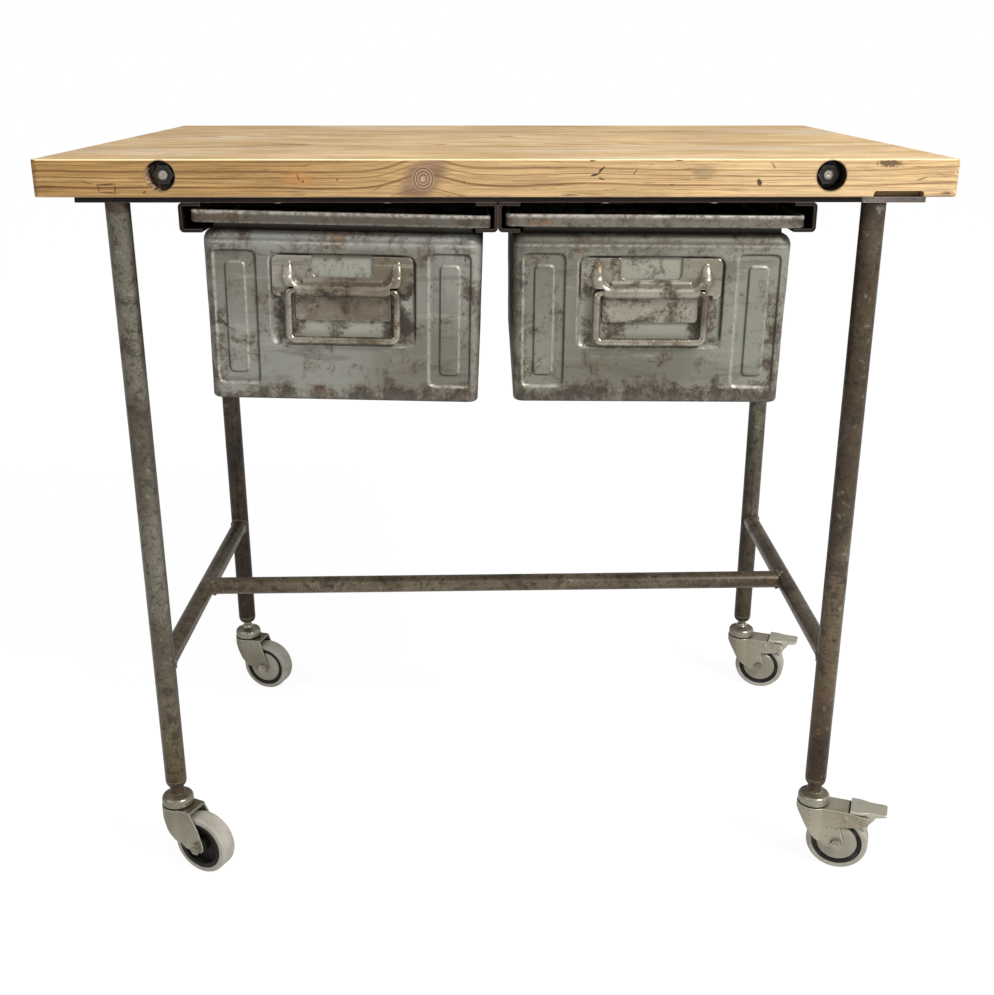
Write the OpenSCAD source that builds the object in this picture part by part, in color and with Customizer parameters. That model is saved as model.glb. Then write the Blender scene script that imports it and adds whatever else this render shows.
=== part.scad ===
// Industrial work table: a clamped board top on a welded tube frame, two steel
// stacking boxes that slide in runners as drawers, and four swivel casters.
// Millimetres. The origin is on the floor below the middle of the top, +X to the
// right, +Y to the back, +Z up. The boxes are modelled closed, the bails hanging.

/* [Top] */
// Width of the top
top_w = 1000; // [900:10:1300]
// Depth of the top
top_d = 700; // [640:10:900]
// Thickness of the boards
top_t = 40; // [34:1:60]
// Height of the working surface above the floor
table_h = 900; // [840:5:1000]
// Radius of the eased front and back edges
edge_r = 1.8; // [1:0.1:4]
// Radius of the rounded edges at both ends
end_r = 4; // [1:0.5:8]
// Radius of the upright corners
corner_r = 8.5; // [2:0.5:20]

/* [Tie rods] */
// Distance of each tie rod from the middle of the top
rod_x = 361; // [250:1:400]
// Depth of the rods below the working surface
rod_drop = 17.5; // [17.5:0.5:20]
// Diameter of the threaded rod
rod_d = 12; // [8:1:12]
// Diameter of the counterbore for nut and washer
cbore_d = 32.5; // [28:0.5:33]
// Depth of the counterbore
cbore_depth = 28; // [24:1:40]
// Nut width across flats
rod_nut_af = 19; // [17:1:22]
// Nut height
rod_nut_h = 10; // [8:0.5:12]
// Washer diameter
rod_washer_d = 28; // [24:0.5:28]
// Washer thickness
rod_washer_t = 2.5; // [1.5:0.5:4]

/* [Notch in the front board] */
// Distance of the notch from the middle of the top
notch_x = 435.5; // [400:0.5:440]
// Length of the notch
notch_w = 55; // [30:1:70]
// Height of the notch
notch_h = 6.5; // [3:0.5:9]
// Depth of the notch
notch_d = 18; // [8:1:30]

/* [Frame bars] */
// Width of the flat bars under the top
bar_w = 40; // [30:1:50]
// Thickness of the flat bars
bar_t = 6; // [4:0.5:8]
// Distance from the front of the top to the front bar
bar_inset = 5; // [3:1:20]
// Overhang of the front bar past the left leg's axis
bar_over = 42; // [20:1:60]
// Width of the plate over the front right leg
plate_w = 70; // [50:1:80]
// Depth of that plate
plate_d = 58; // [50:1:80]
// Distance from the plate's left edge to the leg's axis
plate_in = 18.5; // [15:0.5:25]

/* [Legs and stretchers] */
// Distance between the leg axes, left to right
leg_span_x = 830; // [800:5:900]
// Distance between the leg axes, front to back
leg_span_y = 493; // [490:1:520]
// Distance of the front legs behind the edge of the front bar
leg_in = 0.6; // [0.4:0.1:3]
// Diameter of the leg tube
tube_d = 26.9; // [24:0.1:34]
// Wall of every tube
tube_wall = 2.6; // [1.5:0.1:4]
// Diameter of the stretcher tube
stretcher_d = 24; // [18:0.5:26]
// Height of the left side stretcher's axis
stretcher_h = 286; // [200:1:450]
// How much higher the right side stretcher was welded
stretcher_rise = 9; // [0:1:20]

/* [Runners] */
// Clear width of each drawer bay between the webs
bay_w = 341; // [335:1:360]
// Height of the runner channel
runner_h = 32; // [30:0.5:40]
// Width of the runner flanges
runner_flange = 24; // [20:0.5:24.5]
// Thickness of the runner sheet
runner_t = 3.5; // [2.5:0.5:4]
// Outer bend radius of the runner
runner_r = 5; // [4:0.5:7]
// How far the pair of bays sits to the right of the middle
bay_shift = 2; // [0:1:10]
// Height of the stop bar across the back of a bay
stop_h = 18; // [10:1:20]
// Thickness of the stop bar
stop_t = 3; // [2:0.5:5]

/* [Steel boxes] */
// Width of a box over its rim
box_w = 328; // [300:1:328]
// Length of a box over its rim
box_d = 500; // [440:5:500]
// Height of a box
box_h = 214; // [180:1:300]
// Thickness of the box sheet
box_t = 2; // [1.5:0.1:2.5]
// Corner radius of the rim
rim_r = 8; // [6:0.5:20]
// Distance of the body's corner arcs from the edge of the rim
corner_in = 24; // [23:0.5:30]
// Height of the rim band above its ledge
rim_h = 14; // [10:0.5:18]
// Radius of the bead along the top of the rim
bead_r = 2.4; // [2:0.1:3]
// Inset of the neck below the rim
neck_in = 20; // [18:0.5:20]
// Height of the neck
neck_h = 8; // [6:0.5:10]
// Inset of the shoulder, the widest line of the body
shoulder_in = 9; // [8:0.5:12]
// Drop from the neck to the shoulder
shoulder_drop = 14; // [11:0.5:15]
// Inset of the wall at the bottom
foot_in = 11; // [10:0.5:14]
// Radius of the bend into the bottom
foot_r = 4; // [3.5:0.5:9]
// How far each box sits from the middle of its bay, towards the other box
box_sit = 2; // [1:0.5:4]
// Lean of the left box, whose right rim alone rests on its runner
box_lean = 1.3; // [0:0.1:1.3]
// Lean of the right box the same way
box_lean_right = 0.4; // [0:0.1:0.5]
// Running gap between rim and runner
slide_gap = 0.3; // [0.2:0.1:0.5]

/* [Pressings of the box ends] */
// Depth of the recess for the handle
press_depth = 4; // [2:0.5:6]
// Depth of the recesses at the sides
side_depth = 2.5; // [1.5:0.5:4]
// How far the rib in them stays below the face
rib_low = 0.5; // [0.3:0.1:1]
// Distance of the side recesses from the middle
side_x = 119.8; // [112:0.1:122]
// Width of the side recesses
side_w = 48; // [30:1:52]
// Height of the lower edge of the side recesses
side_z = 18; // [12:1:40]
// Height of the side recesses
side_h = 152.5; // [100:0.5:156]
// Width of the raised rib in a side recess
rib_w = 21; // [10:1:28]
// Margin above and below that rib
rib_margin = 14; // [8:1:30]
// Width of the handle recess
hand_w = 164; // [160:1:170]
// Height of the lower edge of the handle recess
hand_z = 64; // [55:1:66]
// Height of the handle recess
hand_h = 104; // [102:0.5:108]
// Corner radius of the recesses
press_r = 7; // [4:0.5:9]

/* [Handle strap and bail] */
// Thickness of the strap
strap_t = 3; // [2:0.1:3]
// Width of the strap over its ears
strap_w = 158; // [150:1:158]
// Height of the ears
ear_h = 46; // [42:1:46]
// Distance of the strap's top below the top of the handle recess
strap_drop = 2.5; // [1:0.5:4]
// Width of the notch in the strap
strap_notch_w = 68; // [40:1:80]
// Depth of the notch in the strap
strap_notch_h = 24; // [15:1:25]
// Height of the flap below the roll
flap_h = 35; // [25:1:40]
// Diameter of the bail's rod
bail_d = 8.6; // [6:0.1:9]
// Distance between the legs of the bail
bail_w = 121.4; // [120:0.1:124]
// Distance from the hinge axis to the grip
bail_drop = 56.5; // [50:0.5:58]
// Bend radius of the bail
bail_r = 7; // [6:0.5:8]
// Radial clearance of a pin or shaft in its bore
pin_gap = 0.06; // [0.02:0.01:0.1]
// Height above the hinge of the bead that runs up from each end of the roll
lug_h = 32; // [24:1:33]
// Radius of the bead at its top
lug_r = 3.6; // [3:0.1:5]
// Bend radius in which the roll turns up into the bead
lug_bend = 16; // [13:0.5:17]
// Radius of the hollow between the roll and the strap above it
blend_r = 6; // [4:0.5:8]

/* [Casters] */
// Diameter of the worn wheels
wheel_d = 78; // [70:1:85]
// Width of the tread
tread_w = 25; // [20:0.5:28]
// Thickness of the rubber
tread_t = 7; // [5:0.5:10]
// Trail of the wheel behind the swivel axis
trail = 34.5; // [33:0.5:38]
// Direction in which the casters trail, towards the right and the front
heading = 19.5; // [0:0.5:40]
// Trail of the front left caster, which is of another make
lead_trail = 39; // [35:0.5:40]
// Direction of that caster
lead_heading = 26; // [0:0.5:40]
// Thickness of the fork sheet
fork_t = 2.5; // [2:0.1:3]
// Gap between tread and fork at each side
fork_gap = 1.5; // [1:0.1:2.5]
// Gap between the top of the wheel and the crown
crown_gap = 6.5; // [5:0.5:10]
// Radius of the round part of the crown
crown_r = 21; // [20:0.5:24]
// Length of the crown behind the swivel axis
crown_back = 29; // [27:0.5:31]
// Length of the crown of a caster with a brake
crown_brake = 46; // [45.5:0.5:52]
// Diameter of the swivel head
head_d = 40.5; // [36:0.5:42]
// Height of the swivel head above the crown
head_h = 22; // [20:0.5:26]
// Diameter of the stem
stem_d = 10; // [8:0.5:12]
// Length of bare stem between head and leg
stem_bare = 4; // [3:0.5:8]
// Height of the rounded foot of the leg
foot_plug_h = 10; // [8:0.5:14]
// Length of the plug inside the leg
plug_in = 22; // [15:1:40]
// Diameter of the axle bolt
axle_d = 8; // [6:1:8]
// Width across flats of the axle nut
axle_nut_af = 13; // [12:0.5:14]
// Diameter of the guard discs at the sides of the hub
guard_d = 52; // [48:1:56]
// Distance of the pedal's pivot behind the swivel axis
pedal_x = 67; // [66:0.5:68]
// Drop of the pedal's pivot below the top of the crown
pedal_drop = 11; // [10.5:0.5:12]
// Length of the pedal's pad
pad_len = 45.5; // [35:0.5:50]
// Width of the pad at the crown
pad_w = 34; // [30:1:36]
// Width of the pad at its tip
pad_tip = 27; // [22:1:30]
// Thickness of the pad
pad_t = 4; // [3:0.5:5]

/* [Screws] */
// Shank diameter of the wood screws
screw_d = 5; // [4:0.5:6]
// Length of the screws
screw_len = 28; // [20:1:30]
// Diameter of the screw heads
screw_head_d = 10; // [8:0.5:12]
// Height of the screw heads
screw_head_h = 2.6; // [2:0.2:3]
// Spacing of the screws in the front and rear bars, from the middle of the top
screw_pitch = 120; // [100:5:140]

/* [Hidden] */
$fn = 48;

board_n = 5;
top_z = table_h;
wood_z = top_z - top_t;
bar_z = wood_z - bar_t;
front_y = -top_d / 2 + bar_inset;
leg_r = tube_d / 2;
leg_x = leg_span_x / 2;
leg_front_y = front_y + leg_r + leg_in;
leg_rear_y = leg_front_y + leg_span_y;
back_y = leg_rear_y + bar_w / 2;
cross_y = (leg_front_y + leg_rear_y) / 2;
board_d = top_d / board_n;

axle_z = wheel_d / 2;
crown_z = wheel_d + crown_gap + fork_t;
head_z = crown_z + head_h;
foot_z = head_z + stem_bare;
tube_z = foot_z + foot_plug_h;
fork_in = tread_w / 2 + fork_gap;
fork_out = fork_in + fork_t;
stem_r = stem_d / 2;
plug_r = leg_r - tube_wall - pin_gap;

runner_z = bar_z - runner_h;
flange_z = runner_z + runner_t;
box_z = flange_z + slide_gap + rim_h - box_h;
box_front_y = front_y - 1;
box_back_y = box_front_y + box_d;
box_x = runner_t + bay_w / 2 - box_sit;
stop_y = box_back_y + slide_gap;

face_tilt = atan((foot_in - shoulder_in) / (shoulder_z() - foot_r));
bail_rod_r = bail_d / 2;
roll_bore = bail_rod_r + pin_gap;
roll_w = bail_w - 2 * bail_r - 0.4;
flap_w = bail_w - bail_d - 4;
roll_r = roll_bore + strap_t;
strap_top = hand_z + hand_h - strap_drop;
hinge_z = strap_top - ear_h + roll_r + 1;
hinge_y = strap_t - press_depth + roll_bore;

function shoulder_z() = box_h - rim_h - neck_h - shoulder_drop;
function arc(c, r, a0, a1, n) =
    [for (i = [0:n]) let (a = a0 + (a1 - a0) * i / n) [c[0] + r * cos(a), c[1] + r * sin(a)]];

steel = [0.36, 0.34, 0.31];
dark_steel = [0.16, 0.14, 0.13];
box_grey = [0.50, 0.52, 0.49];
zinc = [0.62, 0.62, 0.58];
pine = [0.80, 0.63, 0.40];

module rounded_rect(w, h, r) {
    square([w - 2 * r, h], center = true);
    square([w, h - 2 * r], center = true);
    for (x = [-1, 1], y = [-1, 1])
        translate([x * (w / 2 - r), y * (h / 2 - r)]) circle(r);
}

module hex(af, h) { cylinder(r = af / sqrt(3), h = h, $fn = 6); }

module along_y(y0, y1) { translate([0, y1, 0]) rotate([90, 0, 0]) linear_extrude(y1 - y0) children(); }

// Table top

screw_rows = concat(
    [for (n = [-2, -1, 1, 2]) [n * screw_pitch, front_y + bar_w / 2]],
    [for (n = [-2, -1, 1, 2]) [n * screw_pitch, leg_rear_y]],
    [for (i = [1:3], s = [-1, 1])
        [s * (leg_x - bar_w / 4), -top_d / 2 + (i + 0.5) * board_d]]);

module top_blank() {
    intersection() {
        translate([0, 0, wood_z]) linear_extrude(top_t) rounded_rect(top_w, top_d, corner_r);
        rotate([90, 0, 90]) linear_extrude(top_w, center = true)
            translate([0, top_z - top_t / 2]) rounded_rect(top_d, top_t, edge_r);
        rotate([90, 0, 0]) linear_extrude(top_d, center = true)
            translate([0, top_z - top_t / 2]) rounded_rect(top_w, top_t, end_r);
    }
}

module rod_axes() {
    for (x = [-rod_x, rod_x]) translate([x, 0, top_z - rod_drop]) children();
}

module screw_axes() {
    for (p = screw_rows) translate([p[0], p[1], bar_z]) children();
}

module top_cuts() {
    rod_axes() {
        rotate([90, 0, 0]) cylinder(d = rod_d + 1, h = top_d + 2, center = true);
        for (s = [-1, 1]) translate([0, s * (top_d / 2 - cbore_depth / 2 + 1), 0])
            rotate([90, 0, 0]) cylinder(d = cbore_d, h = cbore_depth + 2, center = true);
    }
    screw_axes() cylinder(d = screw_d + 2 * pin_gap, h = screw_len + 1);
    translate([notch_x, 0, wood_z - notch_h]) along_y(-top_d / 2 - 1, -top_d / 2 + notch_d)
        rounded_rect(notch_w, 4 * notch_h, notch_h / 2);
}

// One board of the top, counted from the front
module top_board(i) {
    color(pine) difference() {
        intersection() {
            top_blank();
            translate([-top_w, -top_d / 2 + (i - 1) * board_d, 0])
                cube([2 * top_w, board_d, 2 * top_z]);
        }
        top_cuts();
    }
}

module tie_rods() {
    rod_len = top_d - 2 * (cbore_depth - rod_washer_t - rod_nut_h - 2);
    color(zinc) rod_axes() rotate([90, 0, 0]) cylinder(d = rod_d, h = rod_len, center = true);
}

module at_rod_ends(inset) {
    rod_axes() for (s = [0, 1]) rotate([0, 0, s * 180])
        translate([0, -top_d / 2 + inset, 0]) rotate([90, 0, 0]) children();
}

module tie_rod_nuts() {
    color(zinc) at_rod_ends(cbore_depth - rod_washer_t) difference() {
        hex(rod_nut_af, rod_nut_h);
        translate([0, 0, -1]) cylinder(d = rod_d + 2 * pin_gap, h = rod_nut_h + 2);
    }
}

module tie_rod_washers() {
    color(dark_steel) at_rod_ends(cbore_depth) difference() {
        cylinder(d = rod_washer_d, h = rod_washer_t);
        translate([0, 0, -1]) cylinder(d = rod_d + 1, h = rod_washer_t + 2);
    }
}

module wood_screws() {
    color(zinc) screw_axes() {
        cylinder(d = screw_d, h = screw_len);
        translate([0, 0, -screw_head_h]) cylinder(d = screw_head_d, h = screw_head_h);
    }
}

// Welded frame

plate_x0 = leg_x - plate_in;
bar_x0 = -leg_x - bar_over;
plate_y1 = front_y - 3 + plate_d;

module flat_bar(x0, x1, y0, y1, skew = 0) {
    color(dark_steel) difference() {
        translate([0, 0, bar_z]) linear_extrude(bar_t)
            polygon([[x0, y0], [x1, y0], [x1, y1], [x0 + skew, y1]]);
        translate([0, 0, -1]) screw_axes() cylinder(d = screw_d + 2 * pin_gap, h = bar_t + 2);
    }
}

module front_bar() { flat_bar(bar_x0, plate_x0, front_y, front_y + bar_w, bar_w / 5); }

module rear_bar() {
    flat_bar(-leg_x - bar_w / 2, leg_x + bar_w / 2, leg_rear_y - bar_w / 2, back_y);
}

module side_bar_left() {
    flat_bar(-leg_x - bar_w / 2, -leg_x + bar_w / 2, front_y + bar_w, leg_rear_y - bar_w / 2);
}

module side_bar_right() {
    flat_bar(leg_x - bar_w / 2, leg_x + bar_w / 2, plate_y1, leg_rear_y - bar_w / 2);
}

module corner_plate() {
    color(steel) translate([plate_x0 + plate_w / 2, plate_y1 - plate_d / 2, bar_z])
        linear_extrude(bar_t) rounded_rect(plate_w, plate_d, 2.5);
}

module leg(x, y) {
    color(steel) translate([x, y, tube_z]) difference() {
        cylinder(r = leg_r, h = bar_z - tube_z);
        translate([0, 0, -1]) cylinder(r = leg_r - tube_wall, h = bar_z - tube_z + 2);
    }
}

module at_legs() {
    for (x = [-leg_x, leg_x], y = [leg_front_y, leg_rear_y]) translate([x, y, 0]) children();
}

// Turned plug welded into the foot of a leg, drilled for the caster's stem
module leg_plugs() {
    neck_r = stem_r + 2;
    curve = arc([0, tube_z], 1, -90, 0, 6);
    color(dark_steel) at_legs() rotate_extrude() difference() {
        union() {
            polygon(concat([[0, tube_z], [0, foot_z]],
                [for (p = curve) [neck_r + (leg_r - neck_r) * p[0],
                    tube_z + foot_plug_h * (p[1] - tube_z)]]));
            translate([0, tube_z]) square([plug_r, plug_in]);
        }
        translate([-1, 0]) square([1 + stem_r + pin_gap, top_z]);
    }
}

module tube(d, len) {
    difference() {
        cylinder(d = d, h = len, center = true);
        cylinder(d = d - 2 * tube_wall, h = len + 2, center = true);
    }
}

module side_stretcher(side) {
    z = stretcher_h + (side > 0 ? stretcher_rise : 0);
    color(steel) difference() {
        translate([side * leg_x, cross_y, z]) rotate([90, 0, 0]) tube(stretcher_d, leg_span_y);
        for (y = [leg_front_y, leg_rear_y])
            translate([side * leg_x, y, 0]) cylinder(r = leg_r, h = wood_z);
    }
}

module cross_stretcher() {
    lean = atan(stretcher_rise / leg_span_x);
    color(steel) difference() {
        translate([0, cross_y, stretcher_h + stretcher_rise / 2])
            rotate([0, 90 - lean, 0]) tube(stretcher_d, leg_span_x / cos(lean));
        for (s = [-1, 1]) translate([s * leg_x, cross_y, stretcher_h + (s > 0 ? stretcher_rise : 0)])
            rotate([90, 0, 0]) cylinder(d = stretcher_d, h = leg_span_y, center = true);
    }
}

// Runners: rolled channels whose flanges carry the rims of the boxes

module bend_corner() {
    intersection() {
        difference() {
            translate([runner_r, runner_r]) circle(runner_r);
            translate([runner_r, runner_r]) circle(runner_r - runner_t);
        }
        square(runner_r);
    }
}

module channel_section() {
    translate([0, runner_r]) square([runner_t, runner_h - 2 * runner_r]);
    for (flip = [0, 1]) translate([0, flip * runner_h]) mirror([0, flip]) {
        bend_corner();
        translate([runner_r, 0]) square([runner_flange - runner_r, runner_t]);
    }
}

module runner(x, open_left) {
    color(dark_steel) translate([x, 0, runner_z]) along_y(front_y, back_y)
        mirror([open_left ? 1 : 0, 0]) channel_section();
}

// Flat bar across the back of each bay, on which the rim of the box stops
module drawer_stops() {
    len = bay_w - 2 * (runner_r - runner_t);
    color(dark_steel) for (s = [-1, 1])
        translate([bay_shift + s * (runner_t + bay_w / 2) - len / 2, stop_y, flange_z])
            cube([len, stop_t, stop_h]);
}

// Steel boxes

// Sweeps a profile round a rounded rectangle. The profile's x is measured outwards
// from the centre of the corner arcs.
module swept_wall(w, d, r) {
    for (i = [0:3]) {
        along = i % 2 == 0 ? w : d;
        across = i % 2 == 0 ? d : w;
        rotate([0, 0, i * 90]) {
            translate([-(along / 2 - r), across / 2 - r, 0])
                rotate([90, 0, 90]) linear_extrude(along - 2 * r) children();
            translate([along / 2 - r, across / 2 - r, 0]) rotate_extrude(angle = 90) children();
        }
    }
}

// Cross-section of the rim: an upright band with a bead along its top
module rim_section() {
    translate([rim_r - box_t, box_h - rim_h]) square([box_t, rim_h - bead_r]);
    translate([rim_r - bead_r, box_h - bead_r]) circle(bead_r);
}

// Level ledge between the rim and the neck, which slides on the runners
module ledge_plate() {
    neck = neck_in + box_t;
    translate([0, 0, box_h - rim_h]) linear_extrude(box_t) difference() {
        rounded_rect(box_w - box_t, box_d - box_t, rim_r - box_t / 2);
        rounded_rect(box_w - 2 * neck, box_d - 2 * neck, corner_in - neck);
    }
}

// Cross-section of the body's wall: neck, shoulder, side and bend into the bottom
module wall_section() {
    ledge = box_h - rim_h + box_t;
    neck = box_h - rim_h - neck_h;
    shoulder = shoulder_z();
    sweep = 4;
    outer = concat(
        [[corner_in - neck_in, ledge], [corner_in - neck_in, neck]],
        [for (i = [1:sweep]) let (f = i / sweep)
            [corner_in - neck_in + (neck_in - shoulder_in) * sin(90 * f),
             shoulder + shoulder_drop * cos(90 * f)]],
        arc([corner_in - foot_in - foot_r, foot_r], foot_r, 0, -90, sweep));
    inner = concat(
        arc([corner_in - foot_in - foot_r, foot_r], foot_r - box_t, -90, 0, sweep),
        [for (i = [sweep:-1:1]) let (f = i / sweep)
            [corner_in - neck_in - box_t + (neck_in - shoulder_in) * sin(90 * f),
             shoulder + shoulder_drop * cos(90 * f)]],
        [[corner_in - neck_in - box_t, neck], [corner_in - neck_in - box_t, ledge]]);
    polygon(concat(outer, inner));
}

// One end face of a box: its plane is x and z, outwards is -y, and z counts up
// from the bottom of the box
module one_end(turn) {
    rotate([0, 0, turn]) translate([0, -(box_d / 2 - foot_in), foot_r])
        rotate([face_tilt, 0, 0]) translate([0, 0, -foot_r]) children();
}

module on_ends() { for (turn = [0, 180]) one_end(turn) children(); }

// Prism from the face plane: out is towards the outside, in towards the inside
module pressing(out, inwards) {
    translate([0, inwards, 0]) rotate([90, 0, 0]) linear_extrude(out + inwards) children();
}

module side_outline(grow = 0) {
    for (s = [-1, 1]) translate([s * side_x, side_z + side_h / 2])
        rounded_rect(side_w + 2 * grow, side_h + 2 * grow, press_r + grow);
}

module rib_outline() {
    for (s = [-1, 1]) translate([s * side_x, side_z + side_h / 2])
        rounded_rect(rib_w, side_h - 2 * rib_margin, press_r - 2);
}

module hand_outline(grow = 0) {
    translate([0, hand_z + hand_h / 2])
        rounded_rect(hand_w + 2 * grow, hand_h + 2 * grow, press_r + 4 + grow);
}

module box_shell() {
    floor_in = foot_in + foot_r;
    color(box_grey) difference() {
        union() {
            swept_wall(box_w, box_d, corner_in) wall_section();
            swept_wall(box_w, box_d, rim_r) rim_section();
            ledge_plate();
            linear_extrude(box_t)
                rounded_rect(box_w - 2 * floor_in, box_d - 2 * floor_in, corner_in - floor_in);
            on_ends() {
                pressing(0.1 - box_t, side_depth + box_t) side_outline(box_t);
                pressing(0.1 - box_t, press_depth + box_t) hand_outline(box_t);
            }
        }
        on_ends() {
            difference() {
                pressing(2, side_depth) side_outline();
                pressing(-rib_low, side_depth + 1) rib_outline();
            }
            pressing(2, press_depth) hand_outline();
        }
    }
}

// Handle strap: pressed sheet spot welded in the recess, rolled round the bail
module strap_outline() {
    difference() {
        translate([0, strap_top - ear_h / 2]) rounded_rect(strap_w, ear_h, press_r);
        translate([0, strap_top]) rounded_rect(strap_notch_w, 2 * strap_notch_h, press_r - 1);
        translate([0, hinge_z - roll_r - 4]) square([bail_w + 2 * bail_d, 2 * roll_r], center = true);
    }
}

module flap_outline() {
    translate([0, hinge_z - flap_h / 2]) rounded_rect(flap_w, flap_h, press_r - 2);
}

// The roll, the sheet behind it and the hollow above it, cut across; the strap's
// side is +x
module roll_section() {
    blend_x = roll_bore - blend_r;
    blend_z = sqrt(pow(roll_r + blend_r, 2) - pow(blend_x, 2));
    difference() {
        union() {
            circle(roll_r);
            translate([bail_rod_r, -roll_r]) square([roll_r - bail_rod_r, 2 * roll_r]);
            difference() {
                translate([blend_x * roll_r / (roll_r + blend_r), 0])
                    square([bail_rod_r + strap_t / 2 - blend_x * roll_r / (roll_r + blend_r), blend_z]);
                translate([blend_x, blend_z]) circle(blend_r);
            }
        }
        circle(roll_bore);
    }
}

// Right end of the roll, from the hinge axis: it turns up in a quarter bend and runs
// out as a tapered bead on the strap, whose side is +y
module lug_solid() {
    back = roll_r - strap_t / 2;
    z1 = lug_h - lug_r;
    translate([bail_w / 2 - lug_bend, 0, lug_bend]) rotate([90, 0, 0]) rotate([0, 0, -90])
        rotate_extrude(angle = 90) translate([lug_bend, 0]) circle(roll_r);
    translate([bail_w / 2, 0, 0]) {
        translate([0, 0, lug_bend]) cylinder(r1 = roll_r, r2 = lug_r, h = z1 - lug_bend);
        translate([0, 0, z1]) sphere(lug_r);
        translate([0, back, z1]) rotate([90, 0, 0]) cylinder(r = lug_r, h = back);
        translate([0.3 - lug_r, 0, lug_bend / 2]) cube([2 * lug_r - 0.6, back, z1 - lug_bend / 2]);
    }
}

// The same with its room for the corner of the bail, which it covers
module lug() {
    back = roll_r - strap_t / 2;
    over = bail_rod_r + 0.5;
    difference() {
        intersection() {
            lug_solid();
            translate([0, -back * 2, -roll_r * 2]) cube([bail_w, back * 3, lug_h * 2]);
        }
        translate([roll_w / 2, -back * 2, over - lug_h]) cube([lug_bend * 2, back * 4, lug_h]);
        translate([bail_w / 2, 0, 0]) cylinder(r1 = roll_bore, r2 = lug_r / 2, h = lug_h - 2 * lug_r);
    }
}

module strap() {
    face = press_depth - strap_t;
    straight = bail_w / 2 - lug_bend;
    difference() {
        union() {
            pressing(-face, press_depth) {
                strap_outline();
                flap_outline();
            }
            translate([0, -hinge_y, hinge_z]) {
                translate([-straight, 0, 0]) rotate([90, 0, 90])
                    linear_extrude(2 * straight) roll_section();
                for (s = [0, 1]) mirror([s, 0, 0]) lug();
            }
        }
        translate([-roll_w, -hinge_y, hinge_z]) rotate([0, 90, 0])
            cylinder(r = roll_bore, h = 2 * roll_w);
    }
}

module straps() { color(box_grey) on_ends() strap(); }

// Bail: a rod bent to a closed loop, its top bar lying in the rolled strap
module bail() {
    half = bail_w / 2 - bail_r;
    color(box_grey) translate([0, -hinge_y, hinge_z]) {
        for (z = [0, -bail_drop]) translate([-half, 0, z]) rotate([0, 90, 0])
            cylinder(r = bail_rod_r, h = 2 * half);
        for (s = [-1, 1]) {
            translate([s * bail_w / 2, 0, -bail_drop + bail_r])
                cylinder(r = bail_rod_r, h = bail_drop - 2 * bail_r);
            for (t = [0, 1]) translate([s * half, 0, t ? -bail_r : -bail_drop + bail_r])
                mirror([s < 0 ? 1 : 0, 0, 0]) mirror([0, 0, t ? 0 : 1])
                    rotate([90, 0, 0]) rotate_extrude(angle = 90)
                        translate([bail_r, 0]) circle(bail_rod_r);
        }
    }
}

// A box stands in its bay and leans over its right rim
module place_box(side) {
    lean = side < 0 ? box_lean : box_lean_right;
    pivot = [bay_shift + side * box_x + box_w / 2, box_z + box_h - rim_h];
    translate([pivot[0], 0, pivot[1]]) rotate([0, lean, 0])
        translate([-box_w / 2, (box_front_y + box_back_y) / 2, rim_h - box_h]) children();
}

// Casters. Each is drawn with its swivel axis on z, trailing along +x

module place_caster(x, y, turn = heading) { translate([x, y, 0]) rotate([0, 0, -turn]) children(); }

module across(s0, s1) { translate([0, s1, 0]) rotate([90, 0, 0]) linear_extrude(s1 - s0) children(); }

// Stem, dome and kingpin in one, fixed in the leg
module caster_head() {
    r = head_d / 2;
    rotate_extrude() difference() {
        polygon(concat(
            [[0, crown_z - fork_t - 3], [stem_r + 3, crown_z - fork_t - 3],
             [stem_r + 3, crown_z - fork_t - 0.3], [stem_r, crown_z - fork_t - 0.3],
             [stem_r, crown_z + 0.3], [r * 0.62, crown_z + 0.3], [r * 0.66, crown_z + 1.6],
             [r - 0.8, crown_z + 1.6], [r, crown_z + 2.4]],
            arc([r - 6, crown_z + head_h * 0.38], 6, 0, 55, 4),
            [[r * 0.45, head_z - 5.5], [stem_r + 2.6, head_z - 4], [stem_r + 2, head_z - 1],
             [stem_r, head_z], [stem_r, tube_z + plug_in - 2], [0, tube_z + plug_in - 2]]));
    }
}

module caster_heads() {
    color(zinc) at_legs() caster_head();
}

// Side profile of the fork with the axle at t
module cheek_profile(brake, t) {
    back = brake ? crown_brake : crown_back;
    nose = fork_t + 5;
    boss = 8.5;
    polygon(concat(
        [[-crown_r, crown_z], [-crown_r, crown_z - nose], [-15, crown_z - 14],
         [-10, crown_z - 21], [-3, crown_z - 33], [7, crown_z - 44.5], [20, axle_z - 6.5]],
        arc([t, axle_z], boss, -120, -20, 5),
        [[t + boss, axle_z + 3], [t + 5.5, axle_z + 13], [t + 2, axle_z + 25]],
        brake ? [[pedal_x - 22, crown_z - 22], [pedal_x - 3, crown_z - 18],
                 [pedal_x + 5.5, crown_z - 12], [pedal_x + 4, crown_z - 3]] : [],
        [[back, crown_z]]));
}

module crown_plan(back, shrink = 0) {
    circle(crown_r - shrink);
    translate([0, -fork_out + shrink]) square([back, 2 * (fork_out - shrink)]);
}

module fork(brake, t = trail) {
    reach = pedal_x + 10;
    color(zinc) {
        difference() {
            intersection() {
                linear_extrude(crown_z) crown_plan(reach);
                across(-crown_r - 1, crown_r + 1) cheek_profile(brake, t);
            }
            translate([0, 0, -1]) linear_extrude(crown_z - fork_t + 1)
                crown_plan(reach + 1, fork_t);
            if (brake) translate([crown_brake, -fork_in, 0]) cube([reach, 2 * fork_in, crown_z + 1]);
            cylinder(r = stem_r + pin_gap, h = crown_z + 1);
            translate([t, 0, axle_z]) rotate([90, 0, 0])
                cylinder(d = axle_d + 2 * pin_gap, h = 4 * fork_out, center = true);
        }
        if (brake) brake_rivets();
    }
}

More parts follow.
